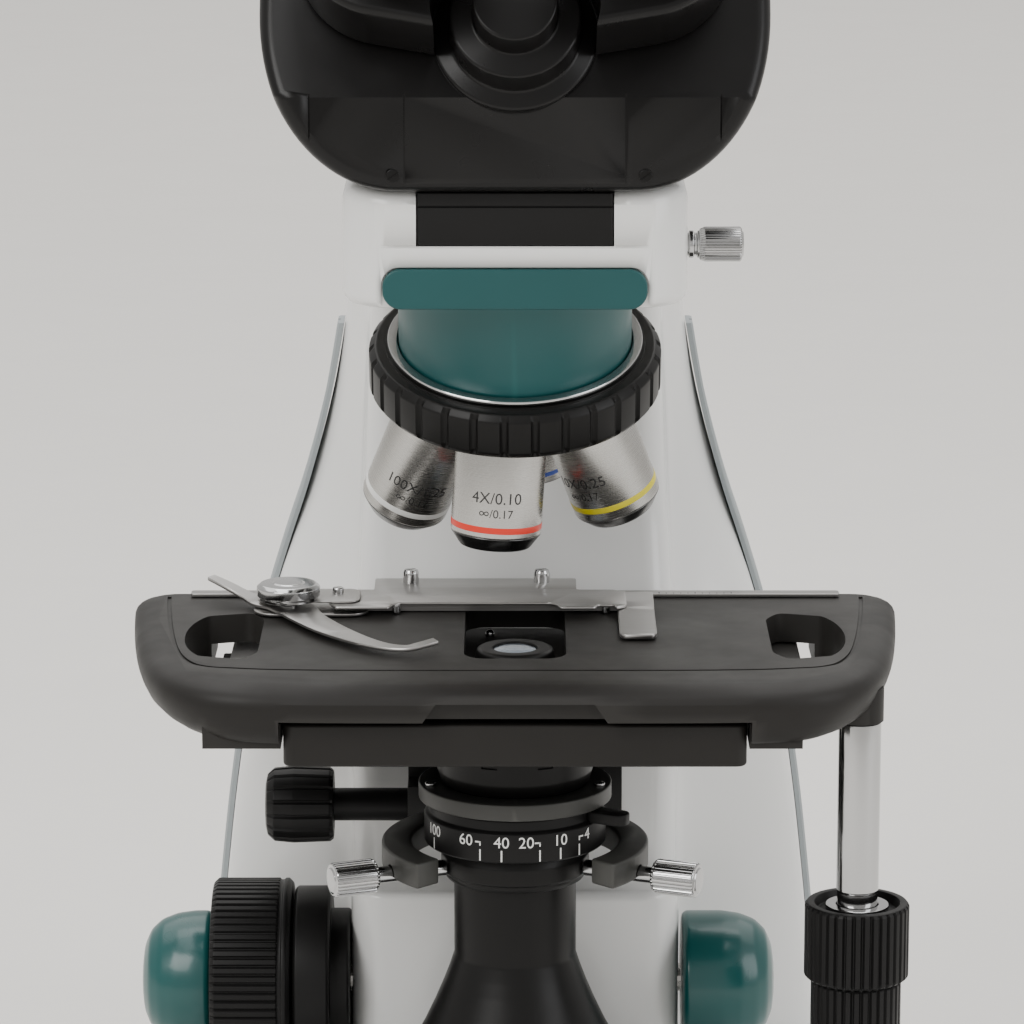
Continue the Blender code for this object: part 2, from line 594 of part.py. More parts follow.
def build_condenser_holder():
    """The sleeve that clamps the condenser, its slide and the open yoke for the centring screws."""
    holder = tube("condenser_holder", 26.0, SPIGOT_RADIUS + GAP, HOLDER_LOW, HOLDER_TOP, "black_paint",
                  spot(0, 0, 0), 28)
    slide = block("holder_slide", (-14, 14), (24.5, 41.7), (YOKE_LOW, HOLDER_TOP - 0.5), "black_paint")
    outline = arc(0.0, 0.0, YOKE_OUTER, -44.0, 224.0, 24) + arc(0.0, 0.0, YOKE_INNER, 224.0, -44.0, 24)
    yoke = prism("screw_yoke", outline, YOKE_LOW, YOKE_TOP, "black_paint", spot(0, 0, 0))
    fuse(holder, slide, yoke)
    for side, sign in (("left", -1.0), ("right", 1.0)):
        on_screw = spot(0, 0, SCREW_HEIGHT) @ along(screw_axis(sign))
        cut(holder, rod("yoke_hole_" + side, 2.6, 15, 45, "black_paint", on_screw))
        screw = [(0, 53), (4.2, 53), (4.7, 52.4), (4.7, 40.5), (4.2, 40), (2.2, 40),
                 (2.2, 20.4), (0, 20.4)]
        turned("centring_screw_" + side, screw, "chrome", on_screw, 14)
    knob = [(0, -69.8), (8.5, -69.8), (10.6, -67), (10.8, -60), (10.4, -51.4), (9.6, -50.8), (4.6, -50.8),
            (4.6, -20), (0, -20)]
    on_knob = spot(0, HEIGHT_KNOB_DEPTH, HEIGHT_KNOB) @ RIGHT
    turned("condenser_height_knob", knob, "dark_plastic", on_knob, 20)


# ---- the nosepiece ----

# Objectives: name, angle round the nosepiece from the front, and (radius, distance below the shoulder)
OBJECTIVES = (
    ("objective_4x", 0.0, ((12.1, 0), (12.1, 25.6), (9.6, 29.4))),
    ("objective_10x", 90.0, ((12.1, 0), (12.1, 29.0), (9.4, 32.4), (6, 32.8))),
    ("objective_40x", 180.0, ((12.1, 0), (12.1, 36), (9.0, 39.3), (5.2, 39.8), (4.4, 42.8))),
    ("objective_100x", -90.0, ((12.1, 0), (12.1, 36.8), (9.2, 40.2), (4.8, 40.5), (4.0, 43))),
)


def objective_axis(angle):
    """The direction of an objective, from the apex down through its front lens."""
    front = Vector((0.0, -math.cos(TILT), -math.sin(TILT)))
    side = Vector((1.0, 0.0, 0.0))
    turn = math.radians(angle) + TURNED_OFF_CLICK
    lean = front * math.cos(turn) + side * math.sin(turn)
    return lean * math.sin(TILT) - NOSE_UP * math.cos(TILT)


def build_nosepiece():
    ring_top = on_nose_axis(RING_FROM_APEX) @ along(NOSE_UP)
    slope = math.tan(TILT)
    plane = (SHOULDER_FROM_APEX - 1.2) / math.cos(TILT) - RING_FROM_APEX
    profile = [
        (0, 0), (RING_RADIUS - 1.5, 0), (RING_RADIUS, -1.5), (RING_RADIUS, -RING_THICK + 1.2),
        (RING_RADIUS - 1.2, -RING_THICK), (RING_RADIUS - 4.0, -RING_THICK),
        (31.0, -plane + 31.0 * slope), (8.0, -plane + 8.0 * slope), (5.0, -plane + 6.0 * slope),
        (0, -plane + 6.0 * slope),
    ]
    turret = turned("nosepiece", profile, "black_paint", ring_top, 32)
    for name, angle, shape in OBJECTIVES:
        axis = objective_axis(angle)
        apex = spot(0, 0, APEX_HEIGHT)
        socket = rod(name + "_boss", 12.6, SHOULDER_FROM_APEX - 5.5, SHOULDER_FROM_APEX - GAP, "steel",
                     apex @ along(axis), 20)
        fuse(turret, socket)
        profile = [(0, shape[0][1] + SHOULDER_FROM_APEX)]
        profile += [(radius, along_axis + SHOULDER_FROM_APEX) for radius, along_axis in shape]
        profile += [(0, shape[-1][1] + SHOULDER_FROM_APEX)]
        turned(name, profile, "steel", apex @ along(axis), 24)
    tube("bearing_ring", 34.0, CARRIER_RADIUS + GAP, GAP, 1.6, "chrome", ring_top, 32)
    carrier = rod("nosepiece_carrier", CARRIER_RADIUS, GAP, 34.0, "green_paint", ring_top, 32)
    trim = block("carrier_trim", (-60, 60), (-80, 80), (HEAD_LOW - GAP, HEAD_LOW + 50), "green_paint")
    cut(carrier, trim)


def build_lock_screw():
    screw = [(0, 60), (4.0, 60), (4.6, 59.3), (4.6, 49), (4.0, 48.4), (3.6, 48.4), (3.6, 45.6), (3.0, 45.6),
             (3.0, 22.9), (0, 22.9)]
    turned("head_lock_screw", screw, "chrome", spot(0, 0, LOCK_HEIGHT) @ RIGHT, 16)


# ---- the binocular head ----

def build_head():
    low = HEAD_TOP + GAP
    right = [(30.0 + 35.0 * math.sin(a), low + 44.0 * (1.0 - math.cos(a)))
             for a in [math.pi * i / 20 for i in range(11)]]
    right += [(65.0, 347.0)] + arc(49.0, 349.0, 16.0, 0.0, 90.0, 5)
    outline = right + [(-x, z) for x, z in reversed(right)]
    body = prism("head_body", outline, -45.0, 42.0, "head_black", spot(0, 0, 0) @ FRONT, 2.0)
    slope = spot(0, HINGE_DEPTH, HINGE_HEIGHT) @ along(EYE_OUT)
    wedge = prism("head_slope", rounded(-90, 90, -60, 90, 0), 0.0, 90.0, "head_black", slope)
    recess = rod("hinge_recess", 21.5, 37.0, 60.0, "head_black", spot(0, 0, RECESS_HEIGHT) @ FRONT, 24)
    stub = rod("hinge_stub", 10.5, 30.0, 41.0, "head_black", spot(0, 0, RECESS_HEIGHT) @ FRONT, 24)
    foot = [(0, 274.3), (22, 274.3), (22, 284.5), (20, 288.5), (20, 304.5), (0, 304.5)]
    dovetail = turned("head_dovetail", foot, "head_black", spot(0, 0, 0), 28)
    barrel = rod("hinge_barrel", HINGE_RADIUS, -10.0, 21.8, "head_black", slope, 20)
    cut(body, wedge, recess)
    fuse(body, stub, dovetail, barrel)
    build_eye_side(slope, "left", -1.0)
    build_eye_side(slope, "right", 1.0)


def build_eye_side(slope, side, sign):
    """One swinging prism housing with its tube, eyepiece and eyecup, all along the sloping axis."""
    outline = pear(EYE_SIDE, EYE_RISE, 23.0, 10.0, 6.0, 14.0)
    outline = [(sign * x, y) for x, y in outline]
    housing = prism("prism_housing_" + side, outline, GAP, 22.0, "head_black", slope, 2.0)
    cut(housing, rod("hinge_room_" + side, HINGE_RADIUS + GAP, -2.0, 30.0, "head_black", slope, 28))
    eye = slope @ Matrix.Translation(Vector((sign * EYE_SIDE, EYE_RISE, 0.0)) * MM)
    tube_profile = [(12.0, 52.0), (15.0, 52.0), (15.5, 51.5), (15.5, 21.0), (12.0, 21.0)]
    fuse(housing, turned("eyepiece_tube_" + side, tube_profile, "head_black", eye))
    cut(housing, rod("tube_bore_" + side, 12.0, 10.0, 60.0, "head_black", eye, 24))
    if side == "left":
        tube("dioptre_ring", 18.0, 15.8, 40.0, 50.5, "dark_plastic", eye)
    eyepiece = [
        (0, 74.0), (10.0, 74.0), (10.0, 75.0), (14.0, 75.0), (14.0, 66.0), (17.0, 66.0), (17.0, 53.5),
        (16.0, 52.3), (11.7, 52.3), (11.7, 30.0), (0, 30.0),
    ]
    turned("eyepiece_" + side, eyepiece, "head_black", eye)
    cup = [(14.3, 79.0), (18.5, 80.0), (20.0, 78.5), (18.6, 66.3), (14.3, 66.3)]
    turned("eyecup_" + side, cup, "rubber", eye)


clear_scene()
build_base()
build_base_controls()
build_arm()
build_focus_housing()
build_arm_trim()
build_inlet()
build_tower()
build_focus()
build_carriage()
build_stage_block()
build_stage_plate()
build_stage_drive()
build_slide_holder()
build_condenser()
build_condenser_holder()
build_nosepiece()
build_lock_screw()
build_head()
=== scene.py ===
"""The finished microscope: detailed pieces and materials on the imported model.

Lengths are in millimetres, and MM turns them into metres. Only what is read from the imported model
and the studio's own measures are in metres from the start. Heights are above the table. Depths are
counted from the optical axis, negative towards the observer.
"""
import math

import bmesh
import bpy
from mathutils import Matrix, Vector


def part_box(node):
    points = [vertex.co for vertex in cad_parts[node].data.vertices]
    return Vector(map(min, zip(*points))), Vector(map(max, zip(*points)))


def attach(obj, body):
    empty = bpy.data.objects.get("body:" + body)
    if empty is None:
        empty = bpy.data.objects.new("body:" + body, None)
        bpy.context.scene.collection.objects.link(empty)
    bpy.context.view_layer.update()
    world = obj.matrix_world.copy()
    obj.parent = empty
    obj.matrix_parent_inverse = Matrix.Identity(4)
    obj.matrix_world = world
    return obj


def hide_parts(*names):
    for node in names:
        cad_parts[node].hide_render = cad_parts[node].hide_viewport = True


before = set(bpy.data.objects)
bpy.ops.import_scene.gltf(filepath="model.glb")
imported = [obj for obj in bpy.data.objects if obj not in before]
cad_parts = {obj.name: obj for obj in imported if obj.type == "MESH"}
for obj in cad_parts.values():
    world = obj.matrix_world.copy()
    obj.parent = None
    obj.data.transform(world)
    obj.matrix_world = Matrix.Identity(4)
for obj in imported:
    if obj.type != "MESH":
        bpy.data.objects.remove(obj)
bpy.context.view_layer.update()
MM = 0.001


def corners(node):
    low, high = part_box(node)
    return Vector(low), Vector(high)


BARREL_LOW, BARREL_HIGH = corners("condenser_barrel")
AXIS_X = (BARREL_LOW.x + BARREL_HIGH.x) / 2
AXIS_Y = (BARREL_LOW.y + BARREL_HIGH.y) / 2
STAGE_TOP = corners("stage_plate")[1].z / MM


# ---- placing ----

def spot(x, depth, height):
    return Matrix.Translation(Vector((AXIS_X + x * MM, AXIS_Y + depth * MM, height * MM)))


def along(direction):
    """The rotation that turns local Z to the direction and keeps local X as level as it can."""
    z_axis = Vector(direction).normalized()
    side = Vector((1, 0, 0))
    if abs(z_axis.x) > 0.99:
        side = Vector((0, 1, 0))
    y_axis = z_axis.cross(side).normalized()
    x_axis = y_axis.cross(z_axis)
    return Matrix((x_axis, y_axis, z_axis)).transposed().to_4x4()


def slid(distance):
    return Matrix.Translation(Vector((0, 0, distance * MM)))


def spot_local(x, y, z):
    return Matrix.Translation(Vector((x, y, z)) * MM)


def about_z(angle):
    return Matrix.Rotation(angle, 4, "Z")


CENTRE = spot(0, 0, 0)
RIGHT = along((1, 0, 0))
FRONT = along((0, -1, 0))
SIDES = (("left", -1), ("right", 1))


# ---- outlines and profiles ----

def arc(x, y, radius, start, end, steps):
    angles = [math.radians(start + (end - start) * i / steps) for i in range(steps + 1)]
    return [(x + radius * math.cos(a), y + radius * math.sin(a)) for a in angles]


def rounded(x0, x1, y0, y1, radius, steps=8):
    points = arc(x1 - radius, y0 + radius, radius, -90, 0, steps)
    points += arc(x1 - radius, y1 - radius, radius, 0, 90, steps)
    points += arc(x0 + radius, y1 - radius, radius, 90, 180, steps)
    points += arc(x0 + radius, y0 + radius, radius, 180, 270, steps)
    return points


def eased(points, radius, closed=True, steps=3):
    """The polygon with its corners rounded; a point's third value, if any, is carried along."""
    result = []
    count = len(points)
    for i, point in enumerate(points):
        here = Vector(point[:2])
        extra = tuple(point[2:])
        if not closed and i in (0, count - 1):
            result.append((here.x, here.y) + extra)
            continue
        before = Vector(points[i - 1][:2]) - here
        after = Vector(points[(i + 1) % count][:2]) - here
        if before.length < 1e-6 or after.length < 1e-6:
            result.append((here.x, here.y) + extra)
            continue
        reach = min(radius, before.length * 0.45, after.length * 0.45)
        start = here + before.normalized() * reach
        end = here + after.normalized() * reach
        for k in range(steps + 1):
            t = k / steps
            spot_on = start * (1 - t) ** 2 + here * 2 * t * (1 - t) + end * t ** 2
            result.append((spot_on.x, spot_on.y) + extra)
    return result


def pear(x1, y1, radius1, x2, y2, radius2, steps=24):
    heading = math.degrees(math.atan2(y2 - y1, x2 - x1))
    lean = math.degrees(math.acos((radius1 - radius2) / math.hypot(x2 - x1, y2 - y1)))
    points = arc(x1, y1, radius1, heading + lean, heading + 360 - lean, 2 * steps)
    points += arc(x2, y2, radius2, heading - lean, heading + lean, steps)
    return points


def mirrored(points):
    return [(-x, y) for x, y in reversed(points)]


# ---- making pieces ----

def new_object(name, data):
    obj = bpy.data.objects.new(name, data)
    bpy.context.collection.objects.link(obj)
    return obj


def mesh_piece(name, bm, where, sharp=30):
    bmesh.ops.recalc_face_normals(bm, faces=bm.faces)
    mesh = bpy.data.meshes.new(name)
    bm.to_mesh(mesh)
    bm.free()
    mesh.shade_smooth()
    mesh.set_sharp_from_angle(angle=math.radians(sharp))
    obj = new_object(name, mesh)
    obj.matrix_world = where
    return obj


def join_loops(bm, first, second):
    count = max(len(first), len(second))
    for i in range(count):
        j = (i + 1) % count
        if len(first) == 1:
            bm.faces.new((first[0], second[i], second[j]))
        elif len(second) == 1:
            bm.faces.new((first[i], first[j], second[0]))
        else:
            bm.faces.new((first[i], first[j], second[j], second[i]))


def turned(name, profile, where, steps=96, ripple=None, ease=0.25):
    """A turned piece from (radius, height) points, rounded at its corners by ease.

    A third value in a point says how much of the ripple, a depth by angle, is cut there.
    """
    solid = profile[0][0] <= 0
    profile = eased([p if len(p) == 3 else (*p, 0) for p in profile], ease, closed=not solid)
    bm = bmesh.new()
    loops = []
    for radius, height, share in profile:
        count = steps if radius > 1e-6 else 1
        loop = []
        for i in range(count):
            angle = 2 * math.pi * i / count
            reach = radius - (share * ripple(angle) if ripple and share else 0)
            loop.append(bm.verts.new(Vector((reach * math.cos(angle), reach * math.sin(angle), height)) * MM))
        loops.append(loop)
    for first, second in zip(loops, loops[1:]):
        join_loops(bm, first, second)
    if not solid:
        join_loops(bm, loops[-1], loops[0])
    return mesh_piece(name, bm, where)


def lofted(name, sections, where, sharp=30):
    bm = bmesh.new()
    loops = [[bm.verts.new(Vector((x, y, height)) * MM) for x, y in outline]
             for height, outline in sections]
    for first, second in zip(loops, loops[1:]):
        join_loops(bm, first, second)
    bm.faces.new(loops[0])
    bm.faces.new(loops[-1])
    return mesh_piece(name, bm, where, sharp)


def prism(name, outline, low, high, where, bevel=0, segments=3):
    obj = lofted(name, [(low, outline), (high, outline)], where)
    if bevel:
        soften(obj, bevel, segments)
    return obj


def block(name, x, depth, height, bevel=0, corner=0, where=CENTRE):
    if corner > 0:
        outline = rounded(x[0], x[1], depth[0], depth[1], corner)
    else:
        outline = [(x[0], depth[0]), (x[1], depth[0]), (x[1], depth[1]), (x[0], depth[1])]
    return prism(name, outline, height[0], height[1], where, bevel)


def soften(obj, width, segments=3, angle=35):
    made = obj.modifiers.new("soft_edges", "BEVEL")
    made.width = width * MM
    made.segments = segments
    made.limit_method = "ANGLE"
    made.angle_limit = math.radians(angle)
    made.harden_normals = True


def rod(name, radius, start, end, where, steps=64, ease=0.2):
    return turned(name, [(0, start), (radius, start), (radius, end), (0, end)], where, steps, None, ease)


def ring(name, outer, inner, start, end, where, steps=96, ease=0.3):
    profile = [(inner, end), (outer, end), (outer, start), (inner, start)]
    return turned(name, profile, where, steps, None, ease)


def apply_modifiers(obj):
    graph = bpy.context.evaluated_depsgraph_get()
    made = bpy.data.meshes.new_from_object(obj.evaluated_get(graph))
    obj.modifiers.clear()
    obj.data = made


def combine(obj, operation, *tools):
    """Cut the tools from the piece, or join them to it, and remove them. Bevels are settled first."""
    for piece in (obj, *tools):
        if piece.modifiers:
            apply_modifiers(piece)
    for tool in tools:
        made = obj.modifiers.new(tool.name, "BOOLEAN")
        made.operation = operation
        made.solver = "EXACT"
        made.object = tool
    bpy.context.view_layer.update()
    apply_modifiers(obj)
    for tool in tools:
        bpy.data.objects.remove(tool, do_unlink=True)


def cut(obj, *tools):
    combine(obj, "DIFFERENCE", *tools)


def fuse(obj, *tools):
    combine(obj, "UNION", *tools)


def smooth_again(obj, angle=30):
    obj.data.shade_smooth()
    obj.data.set_sharp_from_angle(angle=math.radians(angle))
    return obj


def settle(obj, body, slot, look, *nodes):
    """Give a piece its material and its body, and hide the CAD nodes it stands for. The slot is not used."""
    obj.data.materials.clear()
    obj.data.materials.append(look)
    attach(obj, body)
    if nodes:
        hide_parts(*nodes)
    return obj


def flutes(count, depth, share=0.5):
    """Grooves round a grip: depth by angle, with each groove taking this share of the pitch."""
    def ripple(angle):
        phase = (angle * count / (2 * math.pi)) % 1
        if phase > share:
            return 0
        return depth * math.sin(math.pi * phase / share) ** 0.7
    return ripple


def lettering(name, text, size, radius, height, angle, where, look, body, slot):
    """Generic figures bent round a cylinder about local Z, upright when Z is up."""
    curve = bpy.data.curves.new(name, "FONT")
    curve.body = text
    curve.size = size * MM
    curve.align_x = "CENTER"
    curve.align_y = "CENTER"
    curve.extrude = 0.03 * MM
    curve.resolution_u = 4
    holder = new_object(name + "_source", curve)
    bpy.context.view_layer.update()
    mesh = bpy.data.meshes.new_from_object(holder.evaluated_get(bpy.context.evaluated_depsgraph_get()))
    bpy.data.objects.remove(holder, do_unlink=True)
    for vertex in mesh.vertices:
        reach = radius * MM + vertex.co.z
        turn = angle + vertex.co.x / (radius * MM)
        vertex.co = Vector((reach * math.cos(turn), reach * math.sin(turn), height * MM + vertex.co.y))
    obj = new_object(name, mesh)
    obj.matrix_world = where
    return settle(obj, body, slot, look)


# ---- materials ----

def new_material(name):
    made = bpy.data.materials.new(name)
    made.use_nodes = True
    return made, made.node_tree, made.node_tree.nodes["Principled BSDF"]


def node(tree, kind, **values):
    made = tree.nodes.new(kind)
    for key, value in values.items():
        if key in made.inputs:
            made.inputs[key].default_value = value
        else:
            setattr(made, key, value)
    return made


def stretched_noise(tree, scale, stretch, detail=3):
    """Noise in the piece's own coordinates, in cycles a metre, stretched along its axes."""
    coordinates = node(tree, "ShaderNodeTexCoord")
    mapping = node(tree, "ShaderNodeMapping", Scale=stretch)
    noise = node(tree, "ShaderNodeTexNoise", Scale=scale, Detail=detail, Roughness=0.55)
    tree.links.new(coordinates.outputs["Object"], mapping.inputs["Vector"])
    tree.links.new(mapping.outputs["Vector"], noise.inputs["Vector"])
    return noise.outputs["Fac"]


def ranged(tree, value, low, high, start=0.3, end=0.7):
    limits = {"From Min": start, "From Max": end, "To Min": low, "To Max": high}
    made = node(tree, "ShaderNodeMapRange", **limits)
    tree.links.new(value, made.inputs["Value"])
    return made.outputs["Result"]


def blended(tree, share, first, second):
    """Mix two colours, each a tuple or a socket, by a socket."""
    made = node(tree, "ShaderNodeMix", data_type="RGBA")
    tree.links.new(share, made.inputs[0])
    for socket, value in ((made.inputs[6], first), (made.inputs[7], second)):
        if isinstance(value, tuple):
            socket.default_value = (*value, 1)
        else:
            tree.links.new(value, socket)
    return made.outputs[2]


def surface(name, colour, roughness, metallic=0, grain=900, bump=0.12, depth_mm=0.05,
            mottle=0.06, vary=0.12, wear=0, wear_colour=(0.5, 0.5, 0.5), coat=0,
            stretch=(1, 1, 1), anisotropic=0, gloss_level=0.5):
    """A painted, moulded or machined surface: colour drift, uneven gloss, grain and worn edges."""
    made, tree, shader = new_material(name)
    for key, value in (("Metallic", metallic), ("Coat Weight", coat), ("Coat Roughness", 0.08),
                       ("Specular IOR Level", gloss_level)):
        shader.inputs[key].default_value = value
    drift = stretched_noise(tree, 14, (1, 1, 1))
    darker = tuple(c * (1 - mottle) for c in colour)
    lighter = tuple(min(1, c * (1 + mottle)) for c in colour)
    tint = blended(tree, ranged(tree, drift, 0, 1), darker, lighter)
    gloss = ranged(tree, stretched_noise(tree, 60, stretch), roughness * (1 - vary), roughness * (1 + vary))
    if wear > 0:
        geometry = node(tree, "ShaderNodeNewGeometry")
        edges = ranged(tree, geometry.outputs["Pointiness"], 0, wear, 0.53, 0.62)
        tint = blended(tree, edges, tint, wear_colour)
    tree.links.new(tint, shader.inputs["Base Color"])
    tree.links.new(gloss, shader.inputs["Roughness"])
    if bump > 0:
        relief = node(tree, "ShaderNodeBump", Strength=bump, Distance=depth_mm * MM)
        tree.links.new(stretched_noise(tree, grain, stretch, 2), relief.inputs["Height"])
        tree.links.new(relief.outputs["Normal"], shader.inputs["Normal"])
    if anisotropic > 0:
        shader.inputs["Anisotropic"].default_value = anisotropic
        tangent = node(tree, "ShaderNodeTangent", direction_type="RADIAL", axis="Z")
        tree.links.new(tangent.outputs["Tangent"], shader.inputs["Tangent"])
    return made


def glass_surface(name, tint):
    """A coated lens: clear, with a faint tint and a dark depth behind it."""
    made, tree, shader = new_material(name)
    for key, value in (("Metallic", 0), ("Transmission Weight", 0.6), ("IOR", 1.5), ("Coat Weight", 0.6)):
        shader.inputs[key].default_value = value
    shade = stretched_noise(tree, 40, (1, 1, 1))
    tree.links.new(blended(tree, ranged(tree, shade, 0, 1), tint, tuple(c * 0.9 for c in tint)),
                   shader.inputs["Base Color"])
    tree.links.new(ranged(tree, shade, 0.02, 0.06), shader.inputs["Roughness"])
    return made


def band(name, colour):
    return surface(name, colour, 0.35, grain=2000, bump=0.06)


LATHE = (1, 1, 60)
WHITE = surface("white_enamel", (0.80, 0.80, 0.785), 0.22, grain=260, bump=0.05, depth_mm=0.04,
                mottle=0.012, coat=0.25)
BLACK = surface("black_enamel", (0.0060, 0.0057, 0.0055), 0.36, grain=1500, bump=0.10, wear=0.2,
                wear_colour=(0.03, 0.03, 0.03), gloss_level=0.2)
STAGE = surface("stage_coating", (0.0125, 0.0113, 0.0102), 0.50, grain=2600, bump=0.28, depth_mm=0.06,
                mottle=0.10, wear=0.3, wear_colour=(0.045, 0.043, 0.04), gloss_level=0.24)
HEAD = surface("head_moulding", (0.0058, 0.0054, 0.0054), 0.30, grain=2200, bump=0.12, wear=0.15,
               wear_colour=(0.02, 0.02, 0.02), gloss_level=0.24)
PLASTIC = surface("black_plastic", (0.0075, 0.0072, 0.0072), 0.42, grain=1800, bump=0.12, wear=0.25,
                  wear_colour=(0.03, 0.03, 0.03), gloss_level=0.2)
OLIVE = surface("fork_coating", (0.030, 0.030, 0.027), 0.45, grain=1900, bump=0.16, wear=0.3,
                wear_colour=(0.12, 0.12, 0.11))
GREEN = surface("green_coating", (0.002, 0.062, 0.064), 0.42, grain=2400, bump=0.22, depth_mm=0.06,
                mottle=0.08, wear=0.15, wear_colour=(0.03, 0.18, 0.17))
GREEN_PLASTIC = surface("green_moulding", (0.002, 0.068, 0.066), 0.30, grain=1600, bump=0.10,
                        mottle=0.05, coat=0.15)
GREY = surface("grey_trim", (0.30, 0.33, 0.34), 0.45, grain=1700, bump=0.12)
CHROME = surface("chrome_plate", (0.52, 0.52, 0.52), 0.14, 1, grain=500, bump=0.03, mottle=0.03,
                 vary=0.3)
STEEL = surface("turned_steel", (0.50, 0.49, 0.47), 0.27, 1, grain=90, bump=0.10, depth_mm=0.02,
                mottle=0.06, stretch=LATHE, anisotropic=0.55)
SHEET = surface("brushed_sheet", (0.36, 0.35, 0.34), 0.34, 1, grain=120, bump=0.10, depth_mm=0.02,
                mottle=0.06, stretch=(1, 30, 30), wear=0.3, wear_colour=(0.75, 0.75, 0.74))
DARK_STEEL = surface("dark_steel", (0.10, 0.10, 0.10), 0.25, 1, grain=90, bump=0.08, depth_mm=0.02,
                     mottle=0.10, stretch=LATHE, anisotropic=0.5)
RUBBER = surface("eyecup_rubber", (0.013, 0.013, 0.013), 0.70, grain=1200, bump=0.25, mottle=0.15)
PRINT = surface("white_print", (0.82, 0.82, 0.80), 0.55, grain=3000, bump=0.05, mottle=0.03)
INK = surface("dark_print", (0.02, 0.02, 0.02), 0.5, grain=3000, bump=0.05)
RED = band("red_band", (0.75, 0.030, 0.012))
YELLOW = band("yellow_band", (0.72, 0.62, 0.02))
BLUE = band("blue_band", (0.05, 0.10, 0.45))
PALE = band("pale_band", (0.78, 0.78, 0.76))
LENS = glass_surface("coated_lens", (0.55, 0.62, 0.70))
DARK_LENS = glass_surface("front_lens", (0.08, 0.10, 0.13))


# ---- the stand ----

# The arm's outline at each height: (height, half-width, front, back, half-width of its throat)
ARM_SECTIONS = [
    (30.3, 88, 64, 148, 46), (55, 86, 64, 148, 46), (80, 83.5, 64, 148, 46),
    (106, 80.5, 64, 148, 46), (132, 76.5, 64, 148, 46), (155, 71, 64, 147, 45),
    (175, 65, 70, 146, 44), (195, 58.5, 74, 143, 43), (218, 52.5, 74, 139, 42),
    (240, 48.5, 70, 133, 41), (258, 46.5, 60, 126, 40), (274, 45, 48, 118, 39),
    (290, 43, 40, 108, 38), (298, 38, 42, 98, 34),
]
COARSE_PLACE = spot(0, 48, 61.8) @ RIGHT
LOCK_HEIGHT = 279.1
HEAD_HALF = 44.5
HEAD_FRONT = -36
HEAD_BACK = 82
HEAD_LOW = 267.8
HEAD_TOP = 298.5


def arm_section(side, front, back, throat):
    right = arc(throat - 8, front + 8, 8, -90, 0, 8)
    for i in range(1, 13):
        t = i / 12
        right.append((throat + (side - throat) * t * t * (3 - 2 * t), front + 8 + 24 * t))
    right += arc(side - 18, back - 18, 18, 0, 90, 12)
    return right + mirrored(right)


def between(sections, steps):
    """Rows spread evenly over a smooth curve through the given rows."""
    rows = []
    for i in range(len(sections) - 1):
        around = [sections[max(0, min(len(sections) - 1, i + k))] for k in (-1, 0, 1, 2)]
        for k in range(steps):
            t = k / steps
            row = []
            for a, b, c, d in zip(*around):
                row.append(0.5 * (2 * b + (c - a) * t + (2 * a - 5 * b + 4 * c - d) * t * t
                                  + (3 * b - a - 3 * c + d) * t ** 3))
            rows.append(tuple(row))
    return rows + [sections[-1]]


def seam_outline():
    """The thin line across the head's front, level in the middle and curling up at its ends."""
    upper = [(-38.6, 286.6), (-37.4, 285.2), (-35.4, 284.6), (35.4, 284.6), (37.4, 285.2), (38.6, 286.6)]
    return upper + [(x, z - 0.75) for x, z in reversed(upper)]


def build_arm():
    rows = between(ARM_SECTIONS, 4)
    sections = [(height, arm_section(*rest)) for height, *rest in rows]
    arm = lofted("arm_casting", sections, CENTRE)
    head = block("arm_head", (-HEAD_HALF, HEAD_HALF), (HEAD_FRONT, HEAD_BACK), (HEAD_LOW, HEAD_TOP), 3.4, 14)
    fuse(arm, head)
    holes = [
        rod("seat", 24.6, 274, HEAD_TOP + 2, CENTRE),
        block("seat_window", (-25.3, 25.3), (HEAD_FRONT - 2, -18), (284.2, HEAD_TOP + 2)),
        prism("cover_pocket", rounded(-34.3, 34.3, 262, 278.9, 4.7), 34, 39, CENTRE @ FRONT),
        rod("lock_hole", 3.4, 20, HEAD_HALF + 3, spot(0, 0, LOCK_HEIGHT) @ RIGHT),
        block("inlet_pocket", (-15.3, 15.3), (130, 151), (44.7, 69.3), 0, 0.6),
        prism("seam_groove", seam_outline(), 35.3, 40, CENTRE @ FRONT),
    ]
    cut(arm, *holes)
    settle(smooth_again(arm, 28), "stand", "white_paint", WHITE, "arm")


def build_focus_housing():
    """The box in front of the arm's foot that holds the focus shaft."""
    right = arc(36, 46, 10, -90, 0, 12) + [(46, 63.7)]
    housing = prism("focus_box", right + mirrored(right), 30.3, 90, CENTRE, 2.5, 5)
    room = block("housing_room", (-41, 41), (41, 69), (35.3, 85))
    cut(housing, room, rod("focus_hole", 4.6, -50, 50, COARSE_PLACE))
    settle(smooth_again(housing), "stand", "white_paint", WHITE, "focus_housing")


def build_side_panels():
    """Two grey strips up the back of the arm, each with a groove along its middle."""
    rows = between(ARM_SECTIONS[1:10], 6)
    for side, sign in SIDES:
        sections = []
        for height, half, _front, back, _throat in rows:
            far = min(126, back - 20)
            middle = (100 + far) / 2
            inner = half + 0.3
            outline = [(inner, 100), (inner + 1.3, 100.2), (inner + 1.9, 101.2), (inner + 1.9, middle - 1.6),
                       (inner + 1.1, middle - 1), (inner + 1.1, middle + 1), (inner + 1.9, middle + 1.6),
                       (inner + 1.9, far - 1.2), (inner + 1.3, far - 0.2), (inner, far)]
            sections.append((height, [(sign * x, y) for x, y in outline]))
        settle(lofted("side_strip_" + side, sections, CENTRE),
               "stand", "grey_panel", GREY, "side_panel_" + side)


